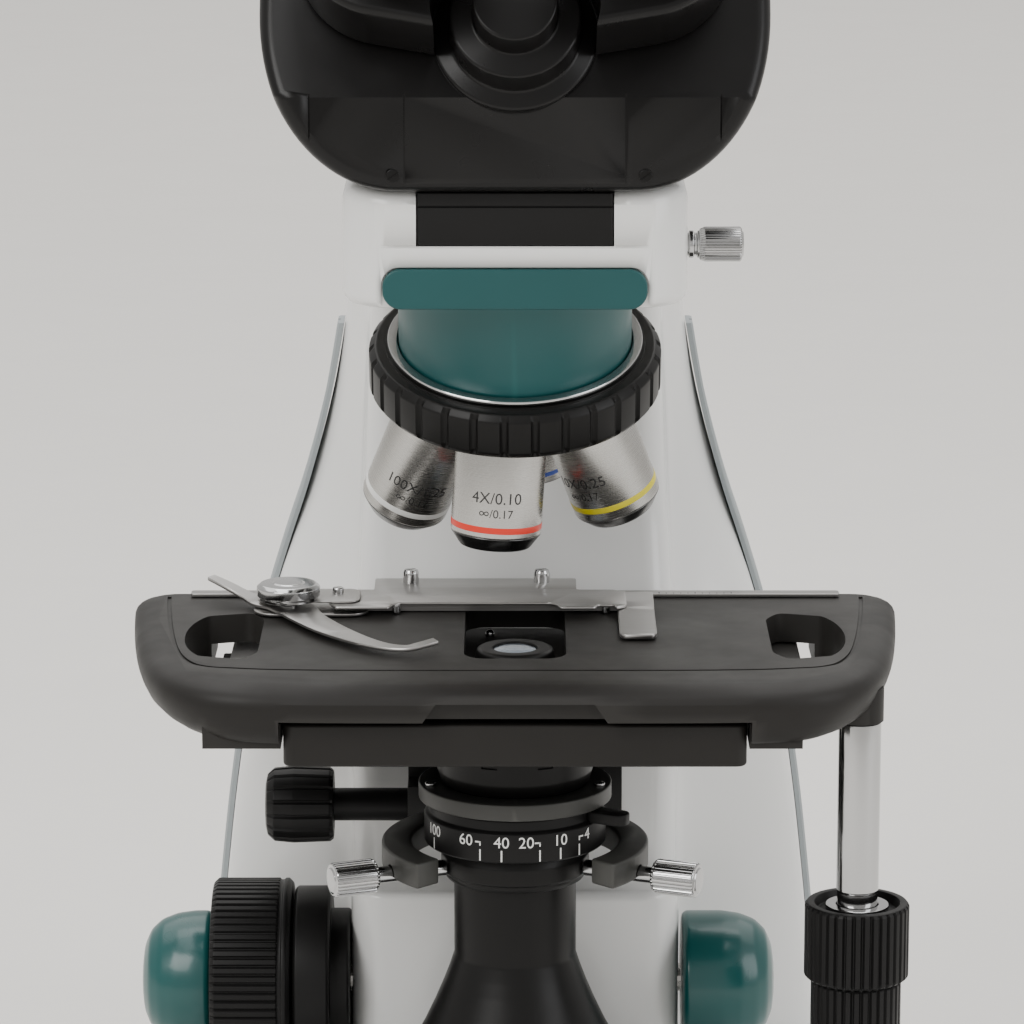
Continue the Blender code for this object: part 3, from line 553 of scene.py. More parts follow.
def build_front_plate():
    """The dark plate round the head's seat, with a line cut along its upper edge."""
    plate = block("seat_plate", (-25, 25), (HEAD_FRONT + 0.1, -25.4), (284.5, 298.2), 0.5, 0.6)
    cut(plate, block("seat_line", (-27, 27), (HEAD_FRONT - 2, HEAD_FRONT + 0.8), (294.2, 294.8)))
    settle(smooth_again(plate), "stand", "dark_plastic", PLASTIC, "head_front_plate")


def build_cover():
    """The green plate in front of the nosepiece carrier, with rounded corners."""
    settle(prism("front_cover", rounded(-33.9, 33.9, 268.1, 278.5, 4.6), 34.3, 37, CENTRE @ FRONT, 0.5),
           "stand", "green_paint", GREEN, "carrier_cover")


BASE_TOP = 30
BASE_FRONT = -112
BASE_BACK = 152
BASE_HALF = 98
WALL = 5
SHELL_LOW = 5.3
CONTROL_DEPTH = -40
CONTROL_HEIGHT = 17.5
DIAL_PLACE = spot(BASE_HALF, CONTROL_DEPTH, CONTROL_HEIGHT) @ RIGHT


def build_base():
    """The low white base: a shell with big round corners and soft edges."""
    outline = rounded(-BASE_HALF, BASE_HALF, BASE_FRONT, BASE_BACK, 34, 16)
    base = prism("base_shell", outline, SHELL_LOW, BASE_TOP, CENTRE, 5, 8)
    room = rounded(-BASE_HALF + WALL, BASE_HALF - WALL, BASE_FRONT + WALL, BASE_BACK - WALL, 29, 12)
    cavity = prism("base_cavity", room, 0, BASE_TOP - WALL, CENTRE)
    cut(cavity, block("switch_well", (-BASE_HALF - 1, -BASE_HALF + 14), (-57, -23), (3, BASE_TOP - 1)))
    pocket = block("switch_pocket", (-BASE_HALF - 2, -BASE_HALF + 9), (-52.3, -27.7), (10.2, 24.8))
    dial_hole = rod("dial_hole", 3.4, -14, 4, DIAL_PLACE)
    cut(base, cavity, pocket, dial_hole)
    settle(smooth_again(base, 28), "stand", "white_paint", WHITE, "base_housing")


def build_switch():
    """The mains rocker, with a hollowed face."""
    place = spot(-BASE_HALF + 6, CONTROL_DEPTH, CONTROL_HEIGHT) @ along((-1, 0, 0))
    rocker = prism("power_rocker_cap", rounded(-11.5, 11.5, -5.2, 5.2, 1, 4), 0, 8, place, 0.6)
    cut(rocker, rod("rocker_hollow", 40, -6, 6, place @ spot_local(0, 0, 47.3) @ along((0, 1, 0)), 160))
    settle(smooth_again(rocker), "power_rocker", "dark_plastic", PLASTIC, "power_switch")


def build_light_dial():
    profile = [(0, 5), (6, 5), (6.4, 4.7), (9.8, 4.7), (10.4, 5), (11, 4, 1), (11, 0.3, 1),
               (3.1, 0.3), (3.1, -12), (0, -12)]
    settle(turned("light_dial_cap", profile, DIAL_PLACE, 180, flutes(30, 0.5)),
           "light_control", "dark_plastic", PLASTIC, "light_dial")
    for i in range(9):
        angle = math.radians(-225 + 270 * i / 8)
        tick = block("dial_tick_" + str(i), (12.4, 14.2), (-0.25, 0.25), (0, 0.12),
                     where=DIAL_PLACE @ about_z(angle))
        settle(tick, "stand", "dark_plastic", INK)


def build_inlet():
    """The mains inlet: a flanged body with three blade pins in its mouth."""
    inlet = block("inlet_body", (-15, 15), (130.5, 148.8), (45, 69), 0.6, 0)
    mouth = [(-12.5, 48.5), (12.5, 48.5), (12.5, 60.5), (8, 65.5), (-8, 65.5), (-12.5, 60.5)]
    cut(inlet, prism("inlet_mouth", mouth, -152, -134, CENTRE @ FRONT))
    settle(smooth_again(inlet), "stand", "dark_plastic", PLASTIC, "mains_inlet")
    for name, x, height in (("left", -7, 55), ("right", 7, 55), ("earth", 0, 59.5)):
        pin = block("inlet_pin_" + name, (x - 1, x + 1), (134, 146), (height - 2, height + 2), 0.5)
        settle(pin, "stand", "steel", CHROME)


def build_feet():
    for front, depth in (("front", BASE_FRONT + 32), ("rear", BASE_BACK - 32)):
        for side, x in (("left", -74), ("right", 74)):
            profile = [(0, 2.3), (10, 2.3), (10, 0.8), (9, 0), (7.4, 0), (7, 0.6), (5, 0.6), (4.6, 0), (0, 0)]
            settle(turned("pad_" + front + "_" + side, profile, spot(x, depth, 0), 64),
                   "stand", "rubber", RUBBER, "foot_" + front + "_" + side)


def build_tower():
    """The field lens tower in the base: a black stack that flares down to its foot."""
    profile = [(0, 98), (13.9, 98), (13.9, 109), (15.9, 109), (16.5, 108.4), (16.5, 85), (17.8, 81),
               (19.3, 77), (21.8, 71), (24.6, 65), (27, 60.5), (27, 58), (18, 58), (18, 30.4), (0, 30.4)]
    settle(turned("tower_body", profile, CENTRE, 128, None, 0.6),
           "stand", "black_paint", BLACK, "field_tower")
    profile = [(18.3, 48), (28.3, 48), (29, 47.3), (29.6, 44), (31, 39.5), (34, 32.5), (34, 30.3),
               (18.3, 30.3)]
    settle(turned("tower_skirt", profile, CENTRE, 128, None, 0.6),
           "stand", "black_paint", BLACK, "tower_foot")
    profile = [(18.3, 57.7), (28.4, 57.7), (29, 57.1, 1), (29, 50.2, 1), (28.2, 49.4), (28.2, 48.3),
               (18.3, 48.3)]
    settle(turned("iris_grip", profile, CENTRE, 480, flutes(80, 0.7)),
           "field_iris", "dark_plastic", PLASTIC, "field_iris_ring")
    profile = [(0, 106), (5, 105.7), (10, 104.6), (13.5, 103), (13.5, 98.3), (0, 98.3)]
    settle(turned("field_lens_glass", profile, CENTRE, 96, None, 0.1), "stand", "glass", LENS, "field_lens")


# ---- the focus drive ----

def build_focus_knobs():
    profile = [(4.4, -84.9), (26.8, -84.9), (28, -83.6, 1), (28, -66.4, 1), (27.5, -66), (27.5, -65.2),
               (28, -64.8), (28, -63.8), (26.8, -62.6), (4.4, -62.6)]
    settle(turned("coarse_grip", profile, COARSE_PLACE, 576, flutes(72, 0.8, 0.42)),
           "coarse_focus", "dark_plastic", PLASTIC, "coarse_focus_knob")
    profile = [(4.4, -46.3), (19, -46.3), (19.5, -46.9), (19.5, -51.7), (25, -51.7), (25.8, -52.5),
               (25.8, -61.1), (25, -61.9), (4.4, -61.9)]
    settle(turned("tension_grip", profile, COARSE_PLACE, 160),
           "tension", "dark_plastic", PLASTIC, "tension_collar")
    crown = [(0, 0), (5, -0.1), (9.6, -0.7), (13.6, -2.4), (16.4, -5.4), (18.1, -9.8), (18.8, -14.8)]
    profile = [(r, -105 - x) for r, x in crown] + [(18.8, -86.5), (17.8, -85.3), (0, -85.3)]
    settle(turned("fine_cap_left", profile, COARSE_PLACE, 128, None, 1.2),
           "fine_focus", "green_paint", GREEN_PLASTIC, "fine_focus_knob_left")
    profile = [(0, 47), (17.8, 47), (18.8, 48.2)] + [(r, 73 + x) for r, x in reversed(crown)]
    settle(turned("fine_cap_right", profile, COARSE_PLACE, 128, None, 1.2),
           "fine_focus", "green_paint", GREEN_PLASTIC, "fine_focus_knob_right")


# ---- the stage ----

STAGE_REACH = 54
STAGE_HALF = 105.5
STAGE_THICK = 7.5
STAGE_BOTTOM = 156.5
BLOCK_TOP = 161.5
BLOCK_LOW = 150.2
PIVOT = (-62, 30)
PIVOT_HOLE = 2.9
STRIP_LOW = 160.3
RAIL_TOP = 173.2
SHEET_LOW = 174.4
SHEET_TOP = 175.2
STEM = (90.8, -25)
BACK_CORNER_STEPS = 6
BACK_CORNER_POINTS = BACK_CORNER_STEPS + 1


# The stage's right half seen from above, from the middle of its front to its back corner
STAGE_CURVE = [(0, -54), (34, -54), (58, -53.4), (72, -51.6), (82, -47.6), (89.5, -40.5),
               (94.6, -31), (98.4, -18), (101.2, 0), (103.4, 20), (104.9, 38), (105.5, 48)]


def stage_outline(side, front, back):
    """The stage's plan, drawn in by so much at its sides, front and back."""
    points = between(STAGE_CURVE, 4)
    right = []
    for i, (x, y) in enumerate(points[1:], 1):
        before = Vector(points[i - 1])
        after = Vector(points[min(len(points) - 1, i + 1)])
        heading = (after - before).normalized()
        right.append((x - heading.y * side, y + heading.x * front))
    right += arc(STAGE_HALF - side - 6, STAGE_REACH - back - 6, 6, 10, 90, BACK_CORNER_STEPS)
    return right + mirrored(right)


def d_window(sign):
    """The D-shaped opening in the stage on the given side."""
    outline = [(68.2, -14), (72, -21)]
    outline += [(78.4 + 10.2 * math.sin(a), 4.5 - 25.5 * math.cos(a))
                for a in [math.pi * i / 24 for i in range(4, 21)]]
    outline += [(72, 30), (68.2, 23)]
    return eased([(sign * x, y) for x, y in outline], 2.5, True, 4)


def groove_path(side, front, width):
    """A thin frame that follows the stage's front and sides, to be cut as an engraved line."""
    lines = []
    for inset in (0, width):
        outline = stage_outline(side + inset, front + inset, 16)
        right = outline[:len(outline) // 2 - BACK_CORNER_POINTS]
        lines.append(mirrored(right) + right)
    return lines[0] + lines[1][::-1]


def build_stage_plate():
    low = STAGE_TOP - STAGE_THICK
    reach = STAGE_REACH
    sections = [
        (STAGE_BOTTOM, stage_outline(9.5, 4.5, 0.4)),
        (STAGE_BOTTOM + 0.9, stage_outline(7, 3.2, 0)),
        (STAGE_BOTTOM + 2.6, stage_outline(4.2, 1.9, 0)),
        (STAGE_BOTTOM + 4.8, stage_outline(2, 1, 0)),
        (STAGE_BOTTOM + 7.4, stage_outline(0.7, 0.4, 0)),
        (STAGE_TOP - 6, stage_outline(0, 0, 0)),
        (STAGE_TOP - 4, stage_outline(0.1, 0.2, 0)),
        (STAGE_TOP - 2.6, stage_outline(0.7, 1, 0)),
        (STAGE_TOP - 1.5, stage_outline(1.8, 2.3, 0.1)),
        (STAGE_TOP - 0.7, stage_outline(3.3, 4.1, 0.4)),
        (STAGE_TOP - 0.2, stage_outline(5, 6, 0.9)),
        (STAGE_TOP, stage_outline(6.4, 7.4, 1.4)),
    ]
    plate = lofted("stage_top_plate", sections, CENTRE, 40)
    cutters = [
        block("under_pocket", (-61, 61), (-reach + 8, reach + 6), (STAGE_BOTTOM - 4, low)),
        block("scale_pocket", (-83, -50), (-28, reach + 6), (STAGE_BOTTOM - 4, low - 0.4)),
        block("window_pocket", (50, 82), (-16, reach + 6), (STAGE_BOTTOM - 4, low - 0.4)),
        block("front_gap", (-61, 61), (-reach - 6, -reach + 9), (STAGE_BOTTOM - 4, 163.2)),
        prism("front_notch", [(-24, 163), (24, 163), (20.5, 168.2), (-20.5, 168.2)],
              reach - 5, reach + 4, CENTRE @ FRONT),
        block("aperture", (-13.6, 13.6), (-20.5, 44), (low - 4, STAGE_TOP + 4), 0, 6),
        prism("contour", groove_path(9, 20.5, 1.1), STAGE_TOP - 0.5, STAGE_TOP + 1, CENTRE),
    ]
    for _side, sign in SIDES:
        cutters.append(prism("d_window", d_window(sign), STAGE_BOTTOM - 4, STAGE_TOP + 4, CENTRE))
    cut(plate, *cutters)
    guides = [block("guide", x, (-45, 52), (BLOCK_TOP + 0.3, low + 1)) for x in ((-58, -50), (50, 58))]
    guides.append(rod("stem_boss", 6.2, STAGE_BOTTOM, low + 1, spot(*STEM, 0)))
    guides += [block("flange", x, (-46, -22), (154.4, 161)) for x in ((-81, -60.7), (60.7, 74.5))]
    fuse(plate, *guides)
    smooth_again(plate, 24)
    soften(plate, 0.25, 2, 50)
    settle(plate, "stage_y", "stage_black", STAGE, "stage_plate")


def build_stage_block():
    body = block("stage_block", (-60, 60), (-49, 56), (BLOCK_LOW, BLOCK_TOP), 0, 3)
    cut(body, rod("condenser_hole", 24, BLOCK_LOW - 3, BLOCK_TOP + 3, CENTRE, 96))
    smooth_again(body)
    soften(body, 0.8, 3)
    settle(body, "focus_slide", "stage_black", STAGE, "stage_base")


def build_y_scale():
    wing = block("scale_wing", (-80, -60.3), (-20, 32), (153.5, STRIP_LOW), 0.5)
    settle(block("window_rail", (64, 77.4), (-18, 58), (STRIP_LOW, 163.4), 0.4),
           "focus_slide", "stage_black", STAGE)
    strip = block("y_scale_strip", (-77.4, -67), (-18, 58), (STRIP_LOW, 162.6), 0.25)
    settle(wing, "focus_slide", "stage_black", STAGE, "stage_y_scale")
    settle(strip, "focus_slide", "steel", SHEET, "stage_y_scale")
    for i in range(36):
        depth = -14 + 2 * i
        reach = 4.4 if i % 5 == 0 else 2.4
        settle(block("y_tick_" + str(i), (-68 - reach, -68), (depth - 0.2, depth + 0.2), (162.5, 162.64)),
               "focus_slide", "steel", INK)


def build_x_rail():
    """The strip that the slide holder runs on, with marks every two millimetres."""
    outline = [(-90, 47.5), (90, 47.5), (90, 52), (-90, 52)]
    settle(prism("x_rail_strip", eased(outline, 1), STAGE_TOP + 0.3, RAIL_TOP, CENTRE, 0.2),
           "stage_y", "steel", SHEET, "x_rail")
    for i in range(61):
        x = -60 + 2 * i
        reach = 1.6 if i % 5 == 0 else 0.9
        settle(block("x_tick_" + str(i), (x - 0.15, x + 0.15), (48, 48 + reach), (173.1, 173.23)),
               "stage_y", "steel", INK)


def build_stage_drive():
    """The coaxial drive under the stage's right side: a bright stem and two fluted knobs."""
    place = spot(*STEM, 0)
    profile = [(0, 156.2), (5.6, 156.2), (5.6, 110.2), (5.4, 109.8), (5.4, 66.3), (5.2, 66), (0, 66)]
    settle(turned("drive_stem", profile, place), "stage_y", "chrome", CHROME, "xy_stem")
    settle(ring("stem_washer", 8.4, 5.65, 104.6, 106.2, place), "stage_y", "chrome", CHROME)
    profile = [(5.9, 104.4), (10.6, 104.4), (11.4, 106.7), (13.2, 106.7), (13.9, 105.8, 1), (13.9, 86.8, 1),
               (13, 86), (5.9, 86)]
    settle(turned("y_knob_grip", profile, place, 360, flutes(36, 0.8, 0.5)),
           "y_drive", "dark_plastic", PLASTIC, "y_drive_knob")
    profile = [(0, 62), (11.2, 62), (12, 62.9, 1), (12, 84.8, 1), (11.2, 85.7), (5.9, 85.7), (5.9, 65.7),
               (0, 65.7)]
    settle(turned("x_knob_grip", profile, place, 320, flutes(32, 0.75, 0.5)),
           "x_drive", "dark_plastic", PLASTIC, "x_drive_knob")
    profile = [(0, BLOCK_TOP), (1.3, BLOCK_TOP), (1.3, 162.4), (1, 163), (0.5, 163.3), (0, 163.35)]
    settle(turned("block_stud", profile, spot(-7, 46, 0), 48), "focus_slide", "steel", CHROME)


def build_slide_holder():
    """The bright sheet that carries the slide: its front edge stepped, its right end bent down to a jaw."""
    floor = STAGE_TOP + 0.4
    outline = [(-51, 30), (-49, 24), (-34.4, 24), (-33.4, 27.5), (-31.4, 29.4), (9.4, 29.4),
               (11.4, 27.5), (12.4, 24), (22, 24), (22.6, 27), (27, 27), (27.5, 24), (30.5, 26.5),
               (30.5, 42), (27, 44.5), (17, 44.5), (17, 58), (-39, 58), (-39, 44.5),
               (-47, 44.5), (-50, 41)]
    sheet = prism("holder_sheet", eased(outline, 0.9), SHEET_LOW, SHEET_TOP, CENTRE, 0.18, 2)
    jaw = ribbon("holder_jaw", [(33, 42, 5, 1.1), (33, 36, 5, 1.1), (33, 31, 5, 1),
                                (33, 25, 5, 0.15), (33, 20, 5, 0), (33, 8, 5, 0),
                                (33, 1, 5, 0), (33, -1.4, 4.4, 0), (33, -2, 3.6, 0)],
                 floor + 0.2, 1.4, CENTRE)
    bar = block("holder_bar", (-45, 29), (31, 44), (floor, SHEET_LOW + 0.4))
    tab = block("holder_tab", (-71.5, -40), (24, 43), (floor, RAIL_TOP), 0.2, 6)
    fuse(sheet, bar, jaw, tab)
    settle(smooth_again(sheet, 40), "holder", "steel", SHEET, "slide_holder")
    for name, x in (("left", -29), ("right", 7.4)):
        build_slotted_screw("holder_screw_" + name, 2.2, SHEET_TOP, 3.6, spot(x, 53.5, 0), "holder", CHROME)
    for name, x in (("left", -32.5), ("right", 24.8)):
        settle(rod("holder_foot_" + name, 1.1, floor, SHEET_LOW + 0.2, spot(x, 29, 0)),
               "holder", "steel", CHROME)


def build_slotted_screw(name, radius, height, rise, place, body, look, slot="steel"):
    head = turned(name, [(0, height - 0.1), (radius, height - 0.1), (radius, height + rise * 0.75),
                         (radius * 0.85, height + rise), (0, height + rise)], place, 64, None, 0.15)
    cut(head, block("slot_cut", (-radius - 1, radius + 1), (-radius * 0.13, radius * 0.13),
                    (height + rise * 0.55, height + rise + 1), where=place @ about_z(0.6)))
    settle(smooth_again(head), body, slot, look)


# The finger's middle line about its pivot, from its tail to its tip: x, depth, half-width, rise
FINGER_LINE = [
    (-22, 14.5, 1.7, 4.6), (-17, 11.4, 2.2, 2.9), (-12, 8.5, 2.6, 0.9), (-9, 6.4, 3.6, 0.1),
    (-6, 4, 4.8, 0), (0, 0, 6.2, 0), (5.5, -13, 5, 0), (12, -26, 4.3, 0),
    (20, -38, 3.2, 0), (27, -45.5, 2.4, 0), (33, -48.5, 2.1, 0.2), (37, -48, 2, 0.9),
    (41, -46.5, 1.9, 1.7),
]


# A ribbon's rounded cross-section, in shares of its half-width and of its thickness
RIBBON_RIM = [(-0.94, 0), (-1, 0.2), (-1, 0.8), (-0.94, 1), (0.94, 1), (1, 0.8), (1, 0.2),
              (0.94, 0)]


def ribbon(name, rows, low, thick, where):
    """A flat strip along a line of (x, y, half-width, rise) rows, bent up where it rises."""
    rows = between(rows, 4)
    bm = bmesh.new()
    loops = []
    for i, (x, y, half, rise) in enumerate(rows):
        before = Vector(rows[max(0, i - 1)][:2])
        after = Vector(rows[min(len(rows) - 1, i + 1)][:2])
        heading = (after - before).normalized()
        side = Vector((-heading.y, heading.x, 0)) * half
        middle = Vector((x, y, low + rise))
        up = Vector((0, 0, thick))
        loops.append([bm.verts.new((middle + side * out + up * rise_share) * MM)
                      for out, rise_share in RIBBON_RIM])
    for first, second in zip(loops, loops[1:]):
        join_loops(bm, first, second)
    bm.faces.new(loops[0])
    bm.faces.new(loops[-1])
    return mesh_piece(name, bm, where, 40)


def build_finger():
    place = spot(*PIVOT, 0)
    finger = ribbon("finger_spring", FINGER_LINE, 173.5, 1, place)
    cut(finger, rod("finger_hole", PIVOT_HOLE, 170, 180, place))
    settle(smooth_again(finger, 40), "finger", "steel", SHEET, "holder_finger")
    profile = [(0, 180.8), (4, 180.8), (4.4, 180.5), (7.6, 180.5), (8.7, 179.6), (8.7, 177.2), (8.1, 176.8),
               (8.1, 176), (2.5, 176), (2.5, 173.5), (0, 173.5)]
    settle(turned("pivot_cap", profile, place, 128), "holder", "chrome", CHROME, "finger_pivot_knob")
    plate = block("pivot_plate", (-70.5, -42.5), (28, 43), (175.3, 175.8), 0.15, 3.5)
    cut(plate, rod("plate_hole", PIVOT_HOLE, 170, 180, place))
    settle(smooth_again(plate, 40), "holder", "steel", SHEET)
    build_slotted_screw("pivot_plate_screw", 1.6, 175.8, 1.6, spot(-48.7, 38, 0), "holder", CHROME)


HEIGHT_KNOB_PLACE = spot(0, 49, 112.2) @ RIGHT


def build_carriage():
    """The bracket behind the condenser: plate, back and dovetail rail, with its edges softened."""
    plate = block("carriage_casting", (-50, 50), (29, 63.5), (140, BLOCK_LOW - 0.3), 0, 4)
    back = block("carriage_back", (-30, 30), (52, 63.5), (102, 146))
    rail = prism("carriage_rail", [(-9, 53), (-12, 42), (12, 42), (9, 53)], 104, 145, CENTRE)
    lug = block("pinion_lug", (-30, -10), (42.5, 55.5), (105.2, 119.2))
    fuse(plate, back, rail, lug)
    cut(plate, rod("pinion_hole", 5, -34, -19, HEIGHT_KNOB_PLACE))
    smooth_again(plate)
    soften(plate, 0.8, 3)
    settle(plate, "focus_slide", "black_paint", BLACK, "stage_carriage")


# ---- the condenser ----

FLANGE_TOP = 133.3
SLEEVE_LOW = 116.6
YOKE_LOW = 109.9


def build_condenser():
    profile = [(0, 167), (6, 167), (6, 170), (9.4, 170), (10.4, 169.4), (10.7, 167.6), (11.5, 165.5),
               (13.2, 161), (17, 156.5), (20.2, 152.5), (21, 150), (21, 137), (20, 133.6),
               (19, 133.6), (19, SLEEVE_LOW), (18, SLEEVE_LOW), (18, 134), (0, 134)]
    barrel = turned("condenser_mount", profile, CENTRE, 160, None, 0.5)
    for x in (-6.9, 8.1):
        turn = CENTRE @ about_z(math.asin(x / 21))
        cut(barrel, block("spanner_notch", (-2.2, 2.2), (-23, -20.3), (141.4, 146.6), where=turn))
    settle(smooth_again(barrel), "condenser", "black_paint", BLACK, "condenser_barrel")
    profile = [(0, 170.2), (2, 170.12), (4, 169.9), (5.7, 169.4), (5.7, 167.3), (0, 167.3)]
    settle(turned("condenser_lens", profile, CENTRE, 96, None, 0.05),
           "condenser", "glass", LENS, "condenser_top_lens")
    profile = [(18, 116.3), (18.8, 116.3), (19.3, 115.6), (20, 113.4), (20, 109.2), (19.6, 108.7),
               (19.2, 108.6), (19.2, 107.9), (18.6, 106.8), (18, 106.8)]
    settle(turned("condenser_skirt", profile, CENTRE, 160),
           "condenser", "black_paint", BLACK, "condenser_lower_ring")
    profile = [(19.3, 128.5), (22.6, 128.5), (23.2, 127.9), (23.2, 125.4), (24, 125), (24.5, 124.6),
               (24.5, 117.2), (23.9, SLEEVE_LOW), (19.3, SLEEVE_LOW)]
    ring_body = turned("aperture_dial", profile, CENTRE, 192)
    turn = CENTRE @ about_z(math.radians(-28))
    fuse(ring_body, prism("iris_lever", rounded(22, 34, -3, 3, 2.5), 125, 128.2, turn, 0.5))
    settle(smooth_again(ring_body), "aperture", "dark_plastic", PLASTIC, "aperture_ring")
    build_aperture_scale()


APERTURE_DIAL = 24.5
PRINT_SPAN = (24.4, 24.58)


def build_aperture_scale():
    """Magnifications marked round the aperture ring, each with a tick, some of them set to one side."""
    marks = (("100", -21.6, -21.6), ("60", -13.1, -9.3), ("40", -3.6, -3.6), ("20", 3, 6.6),
             ("10", 12.1, 12.1), ("4", 19.2, 17.1))
    for figure, x, tick_x in marks:
        turn = math.asin(x / APERTURE_DIAL) - math.pi / 2
        lettering("aperture_figure_" + figure, figure, 4.3, 24.53, 122.4, turn, CENTRE, PRINT, "aperture",
                  "dark_plastic")
        place = CENTRE @ about_z(math.asin(tick_x / APERTURE_DIAL) - math.pi / 2)
        settle(block("aperture_tick_" + figure, PRINT_SPAN, (-0.2, 0.2), (117.3, 120.4), where=place),
               "aperture", "dark_plastic", PRINT)
        if tick_x != x:
            side = math.copysign(1, x - tick_x)
            hook = block("aperture_hook_" + figure, PRINT_SPAN, sorted((0.2, side * 1.4)), (122.2, 122.6),
                         where=place)
            settle(hook, "aperture", "dark_plastic", PRINT)
            settle(block("aperture_stem_" + figure, PRINT_SPAN, (-0.2, 0.2), (121.4, 122.6), where=place),
                   "aperture", "dark_plastic", PRINT)


SCREW_HEIGHT = 110.8
SCREW_ANGLE = math.radians(22)
YOKE_OUTER = 36
YOKE_INNER = 28


def screw_axis(sign):
    return Vector((sign * math.cos(SCREW_ANGLE), -math.sin(SCREW_ANGLE), 0))


def build_condenser_holder():
    """What carries the condenser: a flange, its slide and the yoke for the centring screws."""
    body = ring("holder_casting", 26, 19.3, 128.8, FLANGE_TOP, CENTRE, 160, 0.5)
    slide = block("holder_slide", (-14, 14), (24.5, 41.7), (YOKE_LOW, 132.8), 0.8)
    outline = arc(0, 0, YOKE_OUTER, -44, 224, 96) + arc(0, 0, YOKE_INNER, 224, -44, 96)
    yoke = prism("screw_yoke", outline, YOKE_LOW, 116.9, CENTRE, 0.7)
    fuse(body, slide, yoke)
    for side, sign in SIDES:
        on_screw = spot(0, 0, SCREW_HEIGHT) @ along(screw_axis(sign))
        cut(body, rod("yoke_hole", 2.6, 15, 45, on_screw))
        build_slotted_screw("flange_screw_" + side, 1.5, FLANGE_TOP, 0.9, spot(sign * 22.6, -6, 0),
                            "condenser", CHROME)
        profile = [(0, 53), (3.2, 53), (3.5, 52.6), (4.3, 52.6), (4.7, 52.1, 1), (4.7, 41.2, 1), (4.2, 40.4),
                   (3, 40), (2.2, 40), (2.2, 20.4), (0, 20.4)]
        settle(turned("centring_knob_" + side, profile, on_screw, 240, flutes(30, 0.4, 0.6)),
               "centring_" + side, "chrome", CHROME, "centring_screw_" + side)
    settle(smooth_again(body), "condenser", "black_paint", OLIVE, "condenser_holder")


def build_height_knob():
    profile = [(0, -69.8), (6.5, -69.8), (8.6, -69.3, 0.3), (10.3, -67.4, 1), (10.8, -62, 1),
               (10.4, -51.8, 1), (9.6, -50.8), (4.6, -50.8), (4.6, -20), (0, -20)]
    settle(turned("height_knob_grip", profile, HEIGHT_KNOB_PLACE, 288, flutes(16, 0.7, 0.3)),
           "condenser_drive", "dark_plastic", PLASTIC, "condenser_height_knob")


# ---- the nosepiece ----

TILT = math.radians(20)
NOSE_UP = Vector((0, -math.sin(TILT), math.cos(TILT)))
APEX = spot(0, 0, 280.4)
SHOULDER = 53
RING_DROP = 31.2
RING_TOP = APEX @ along(NOSE_UP) @ slid(-RING_DROP)
TURNED_OFF_CLICK = math.radians(-11)

# Each objective: angle round the nosepiece, barrel length, its tip as (radius, distance), the colour
# of its ring, the two lines of figures on it, and how far they are turned from facing the observer
OBJECTIVES = {
    "4x": (0, 25.6, ((9.6, 29.4),), RED, ("4X/0.10", "∞/0.17"), -2),
    "10x": (90, 29, ((9.4, 32.4), (6, 32.8)), YELLOW, ("10X/0.25", "∞/0.17"), -34),
    "40x": (180, 36, ((9, 39.3), (5.2, 39.8), (4.4, 42.8)), BLUE, ("40X/0.65", "∞/0.17"), 150),
    "100x": (-90, 36.8, ((9.2, 40.2), (4.8, 40.5), (4, 43)), PALE, ("100X/1.25", "∞/0.17"), -3),
}


def objective_axis(angle):
    front = Vector((0, -math.cos(TILT), -math.sin(TILT)))
    turn = math.radians(angle) + TURNED_OFF_CLICK
    lean = front * math.cos(turn) + Vector((1, 0, 0)) * math.sin(turn)
    return lean * math.sin(TILT) - NOSE_UP * math.cos(TILT)


def build_turret():
    slope = math.tan(TILT)
    plane = (SHOULDER - 1.2) / math.cos(TILT) - RING_DROP
    profile = [(0, 0), (34.6, 0), (34.6, -0.2), (37.2, -0.2), (39, -2, 1), (39, -11.4, 1),
               (37.6, -13.2), (35, -13.2), (31, 31 * slope - plane), (8, 8 * slope - plane),
               (5, 6 * slope - plane), (0, 6 * slope - plane)]
    turret = turned("nosepiece_ring", profile, RING_TOP, 600, flutes(30, 1, 0.3), 0.5)
    axes = [APEX @ along(objective_axis(angle)) for angle, *_rest in OBJECTIVES.values()]
    fuse(turret, *[rod("boss", 12.6, SHOULDER - 5.5, SHOULDER - 0.3, axis, 96, 0.4) for axis in axes])
    settle(smooth_again(turret, 32), "turret", "black_paint", BLACK, "nosepiece")
    settle(ring("bearing_race", 34, 31.3, 0.3, 1.6, RING_TOP, 192, 0.5),
           "stand", "chrome", CHROME, "bearing_ring")


def build_carrier():
    carrier = rod("nosepiece_mount", 31, 0.3, 34, RING_TOP, 160, 0.5)
    cut(carrier, block("trim", (-60, 60), (-80, 80), (HEAD_LOW - 0.3, HEAD_LOW + 50)))
    settle(smooth_again(carrier), "stand", "green_paint", GREEN, "nosepiece_carrier")


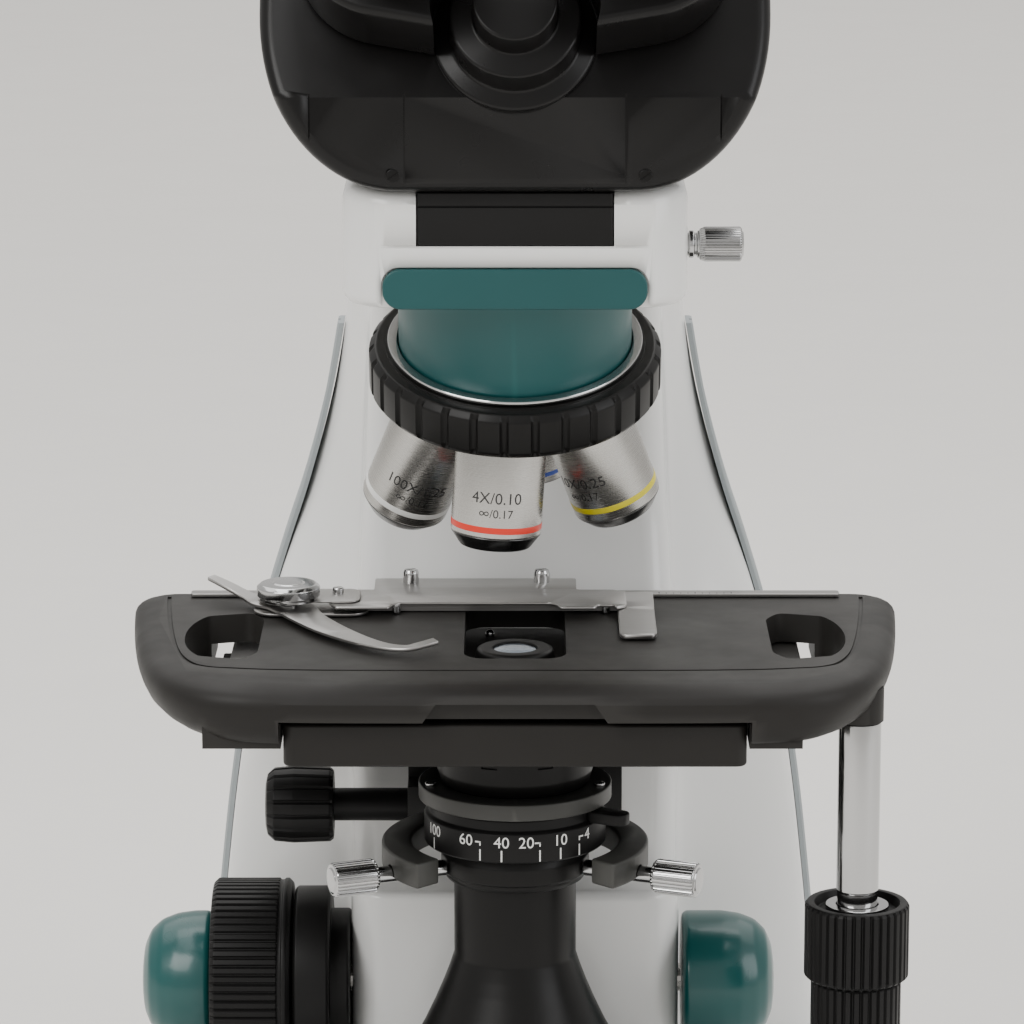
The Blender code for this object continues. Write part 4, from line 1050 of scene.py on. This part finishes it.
def build_objective(power, angle, length, tip, band_look, figures, facing):
    """One objective: a turned barrel, a dark tip, a coloured ring, engraved figures and a front lens."""
    place = APEX @ along(-objective_axis(angle)) @ slid(-SHOULDER)
    end_radius, end = tip[-1]
    profile = [(0, 0), (11.2, 0), (11.5, -0.3), (11.5, -1.5), (12.1, -1.9), (12.1, 0.4 - length)]
    profile += [(11.9, -length), (0, -length)]
    settle(turned("barrel_" + power, profile, place, 160, None, 0.15),
           "turret", "steel", STEEL, "objective_" + power)
    band = length - (2.4 if power == "4x" else 3.6)
    settle(ring("band_" + power, 12.16, 11.6, -band - 0.85, -band + 0.85, place, 160, 0.1),
           "turret", "steel", band_look)
    opening = min(end_radius - 1.4, 6.4)
    profile = [(0, -length + 0.6), (11.4, -length + 0.6), (12, -length - 0.1)]
    profile += [(radius, -distance) for radius, distance in tip[:-1]]
    profile += [(end_radius, 0.3 - end), (end_radius - 0.3, -end), (opening + 0.5, -end),
                (opening, 0.9 - end), (0, 0.9 - end)]
    settle(turned("tip_" + power, profile, place, 160, None, 0.2), "turret", "steel", DARK_STEEL)
    profile = [(0, 1.2 - end), (opening - 0.2, 1.2 - end), (opening - 0.2, 0.85 - end),
               (opening * 0.5, 0.62 - end), (0, 0.55 - end)]
    settle(turned("front_lens_" + power, profile, place, 96, None, 0.05), "turret", "glass", DARK_LENS)
    turn = math.radians(facing) - math.pi / 2
    for line, (text, size, up) in enumerate(zip(figures, (4.3, 3.2), (8.6, 4.5))):
        lettering("figures_" + power + "_" + str(line), text, size, 12.11, up - band, turn, place, INK,
                  "turret", "steel")


def build_lock_screw():
    place = spot(0, 0, LOCK_HEIGHT) @ RIGHT
    profile = [(0, 60), (3.2, 60), (3.5, 59.6), (4.1, 59.6), (4.6, 59.1, 1), (4.6, 49.9, 1), (4, 48.4),
               (3.6, 48.4), (3.6, 47.9), (3, 47.7), (3, 47.1), (3.6, 46.9), (3.6, 45.6), (3, 45.6),
               (3, 22.9), (0, 22.9)]
    settle(turned("lock_screw_knob", profile, place, 240, flutes(40, 0.35, 0.6)),
           "head_lock", "chrome", CHROME, "head_lock_screw")


# ---- the binocular head ----

SLOPE = math.radians(30)
EYE_OUT = Vector((0, -math.cos(SLOPE), math.sin(SLOPE)))
HINGE = spot(0, -33.5, 338) @ along(EYE_OUT)
HINGE_RADIUS = 21
EYE_SIDE = 32
EYE_RISE = 19.3
LINE_DEPTH = (-50, -41.5)


def head_outline():
    """The head from the front: a bowl that spreads to its sides, then straight up to a round top."""
    low = HEAD_TOP + 0.3
    right = [(30 + 35 * math.sin(a), low + 44 * (1 - math.cos(a)))
             for a in [math.pi * i / 48 for i in range(25)]]
    right += arc(49, 349, 16, 0, 90, 10)
    return right + mirrored(right)


def build_head():
    body = prism("head_shell", head_outline(), -45, 42, CENTRE @ FRONT)
    wedge = prism("head_slope", rounded(-90, 90, -60, 90, 1), 0, 90, HINGE)
    cut(body, wedge)
    soften(body, 4, 5, 50)
    lines = [block("lip_line", (-80, 80), LINE_DEPTH, (327.2, 327.7))]
    for sign in (-1, 1):
        for x in (28, 52):
            lines.append(block("panel_line", (sign * x - 0.2, sign * x + 0.2), LINE_DEPTH, (296, 327.4)))
    cut(body, *lines)
    profile = [(0, 274.3), (21.5, 274.3), (22, 274.8), (22, 284.5), (20, 288.5), (20, 304.5), (0, 304.5)]
    dovetail = turned("head_dovetail", profile, CENTRE, 128)
    profile = [(0, -10), (21, -10), (21, 1.5), (16.6, 3), (16.6, 12), (10.6, 12.8), (10.6, 21.8),
               (0, 21.8)]
    barrel = turned("hinge_barrel", profile, HINGE, 128, None, 0.8)
    fuse(body, dovetail, barrel)
    settle(smooth_again(body, 32), "head", "head_black", HEAD, "head_body")
    for name, x in (("left", -31), ("right", 33)):
        build_slotted_screw("head_screw_" + name, 1.7, 0, 0.5, spot(x, -41.9, 303.4) @ FRONT, "head",
                            BLACK)


def build_eye_side(side, sign):
    """One swinging side of the head: prism housing, tube, eyepiece and eyecup along the sloping axis."""
    body = "eye_" + side
    outline = [(sign * x, y) for x, y in pear(EYE_SIDE, EYE_RISE, 23, 10, 6, 14)]
    housing = prism("prism_shell_" + side, outline, 0.3, 22, HINGE, 2.2, 6)
    cut(housing, rod("hinge_room", HINGE_RADIUS + 0.3, -2, 30, HINGE, 160))
    eye = HINGE @ spot_local(sign * EYE_SIDE, EYE_RISE, 0)
    cut(housing, ring("housing_line", 19, 18.5, 21.6, 24, eye, 128, 0.05))
    settle(smooth_again(housing, 32), body, "head_black", HEAD, "prism_housing_" + side)
    profile = [(12, 52), (15, 52), (15.5, 51.5), (15.5, 39.4), (15.2, 39.2), (15.2, 38.6), (15.5, 38.4),
               (15.5, 26), (16, 24.6), (17, 22.3), (12, 22.3)]
    settle(turned("tube_shell_" + side, profile, eye, 160),
           body, "head_black", HEAD, "prism_housing_" + side)
    if side == "left":
        profile = [(15.8, 50.5), (17.3, 50.5), (18, 49.8, 1), (18, 42.6, 1), (17.5, 42.2), (17.5, 40),
                   (15.8, 40)]
        settle(turned("dioptre_grip", profile, eye, 480, flutes(80, 0.5, 0.6)),
               "dioptre", "dark_plastic", PLASTIC, "dioptre_ring")
    profile = [(0, 74), (10, 74), (10, 75), (13.4, 75), (14, 74.4), (14, 66), (16.4, 66),
               (17, 65.4), (17, 62.2), (16.6, 61.9), (16.6, 61.3), (17, 61), (17, 53.5), (16, 52.3),
               (11.7, 52.3), (11.7, 30), (0, 30)]
    settle(turned("ocular_shell_" + side, profile, eye, 160),
           "ocular_" + side, "head_black", HEAD, "eyepiece_" + side)
    profile = [(0, 75), (4, 74.9), (8, 74.5), (9.8, 74.1), (9.8, 73.9), (0, 73.9)]
    settle(turned("eye_lens_" + side, profile, eye, 96, None, 0.05), "ocular_" + side, "glass", LENS)
    profile = [(14.3, 78.8), (15.2, 79.3), (18.3, 79.5), (19.4, 79), (19.9, 78.2)]
    for i in range(5):
        height = 77 - 2.1 * i
        radius = 18.6 + 1.4 * (height - 66.3) / 12.2
        profile += [(radius, height), (radius - 0.6, height - 0.35), (radius - 0.6, height - 0.75),
                    (radius - 0.1, height - 1.1)]
    profile += [(18.6, 66.9), (18.2, 66.3), (14.3, 66.3)]
    settle(turned("cup_" + side, profile, eye, 160, None, 0.2),
           "ocular_" + side, "rubber", RUBBER, "eyecup_" + side)


# ---- materials for the CAD pieces that stay as they are ----

def dress_nodes():
    for name, look in (("bottom_cover", PLASTIC), ("focus_shaft", STEEL)):
        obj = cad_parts[name]
        obj.data.materials.clear()
        obj.data.materials.append(look)


# ---- the studio ----

def lamp(name, place, target, size, power, colour):
    data = bpy.data.lights.new(name, "AREA")
    data.shape = "RECTANGLE"
    data.size, data.size_y = size
    data.energy = power
    data.color = colour
    obj = new_object(name, data)
    obj.location = Vector(place)
    obj.rotation_euler = (Vector(target) - Vector(place)).to_track_quat("-Z", "Y").to_euler()


def build_studio():
    world = bpy.data.worlds.new("studio")
    world.use_nodes = True
    sky = world.node_tree.nodes["Background"].inputs
    sky["Color"].default_value = (0.95, 0.935, 0.91, 1)
    sky["Strength"].default_value = 0.78
    bpy.context.scene.world = world
    bm = bmesh.new()
    bmesh.ops.create_grid(bm, x_segments=2, y_segments=2, size=12)
    floor = mesh_piece("floor", bm, Matrix.Identity(4))
    floor.data.materials.append(surface("backdrop", (0.70, 0.685, 0.66), 0.75, grain=400, bump=0.02,
                                        mottle=0.01))
    middle = (AXIS_X, AXIS_Y, 0.20)
    lamp("key", (-0.9, -1.1, 1.25), middle, (0.9, 0.9), 17, (1, 0.99, 0.97))
    lamp("fill", (1.3, -0.7, 0.8), middle, (0.8, 1), 8, (0.97, 0.98, 1))
    lamp("top", (0, 0, 1.5), middle, (1.2, 1.2), 12, (1, 1, 1))
    lamp("back", (0, 2.2, 2.6), (0, 2.2, 0), (4.5, 4), 80, (1, 0.985, 0.96))


CAMERA_TARGET = (0, 207)
CAMERA_RISE = 12.5
CAMERA_REACH = 1250
CAMERA_LENS = 165.2
LENS_SHIFT = (-0.003, 0)


def build_camera():
    data = bpy.data.cameras.new("camera")
    data.lens = CAMERA_LENS
    data.sensor_width = 36
    data.shift_x, data.shift_y = LENS_SHIFT
    obj = new_object("camera", data)
    rise = math.radians(CAMERA_RISE)
    target = spot(0, *CAMERA_TARGET).to_translation()
    back = Vector((0, -math.cos(rise), math.sin(rise)))
    obj.location = target + back * CAMERA_REACH * MM
    obj.rotation_euler = (-back).to_track_quat("-Z", "Y").to_euler()
    data.clip_start = 0.05
    data.clip_end = 60
    bpy.context.scene.camera = obj


build_studio()
build_camera()
build_arm()
build_focus_housing()
build_side_panels()
build_front_plate()
build_cover()
build_base()
build_switch()
build_light_dial()
build_inlet()
build_feet()
build_tower()
build_focus_knobs()
build_carriage()
build_stage_block()
build_stage_plate()
build_y_scale()
build_x_rail()
build_stage_drive()
build_slide_holder()
build_finger()
build_condenser()
build_condenser_holder()
build_height_knob()
build_turret()
build_carrier()
for power, facts in OBJECTIVES.items():
    build_objective(power, *facts)
build_lock_screw()
build_head()
for side, sign in SIDES:
    build_eye_side(side, sign)
dress_nodes()
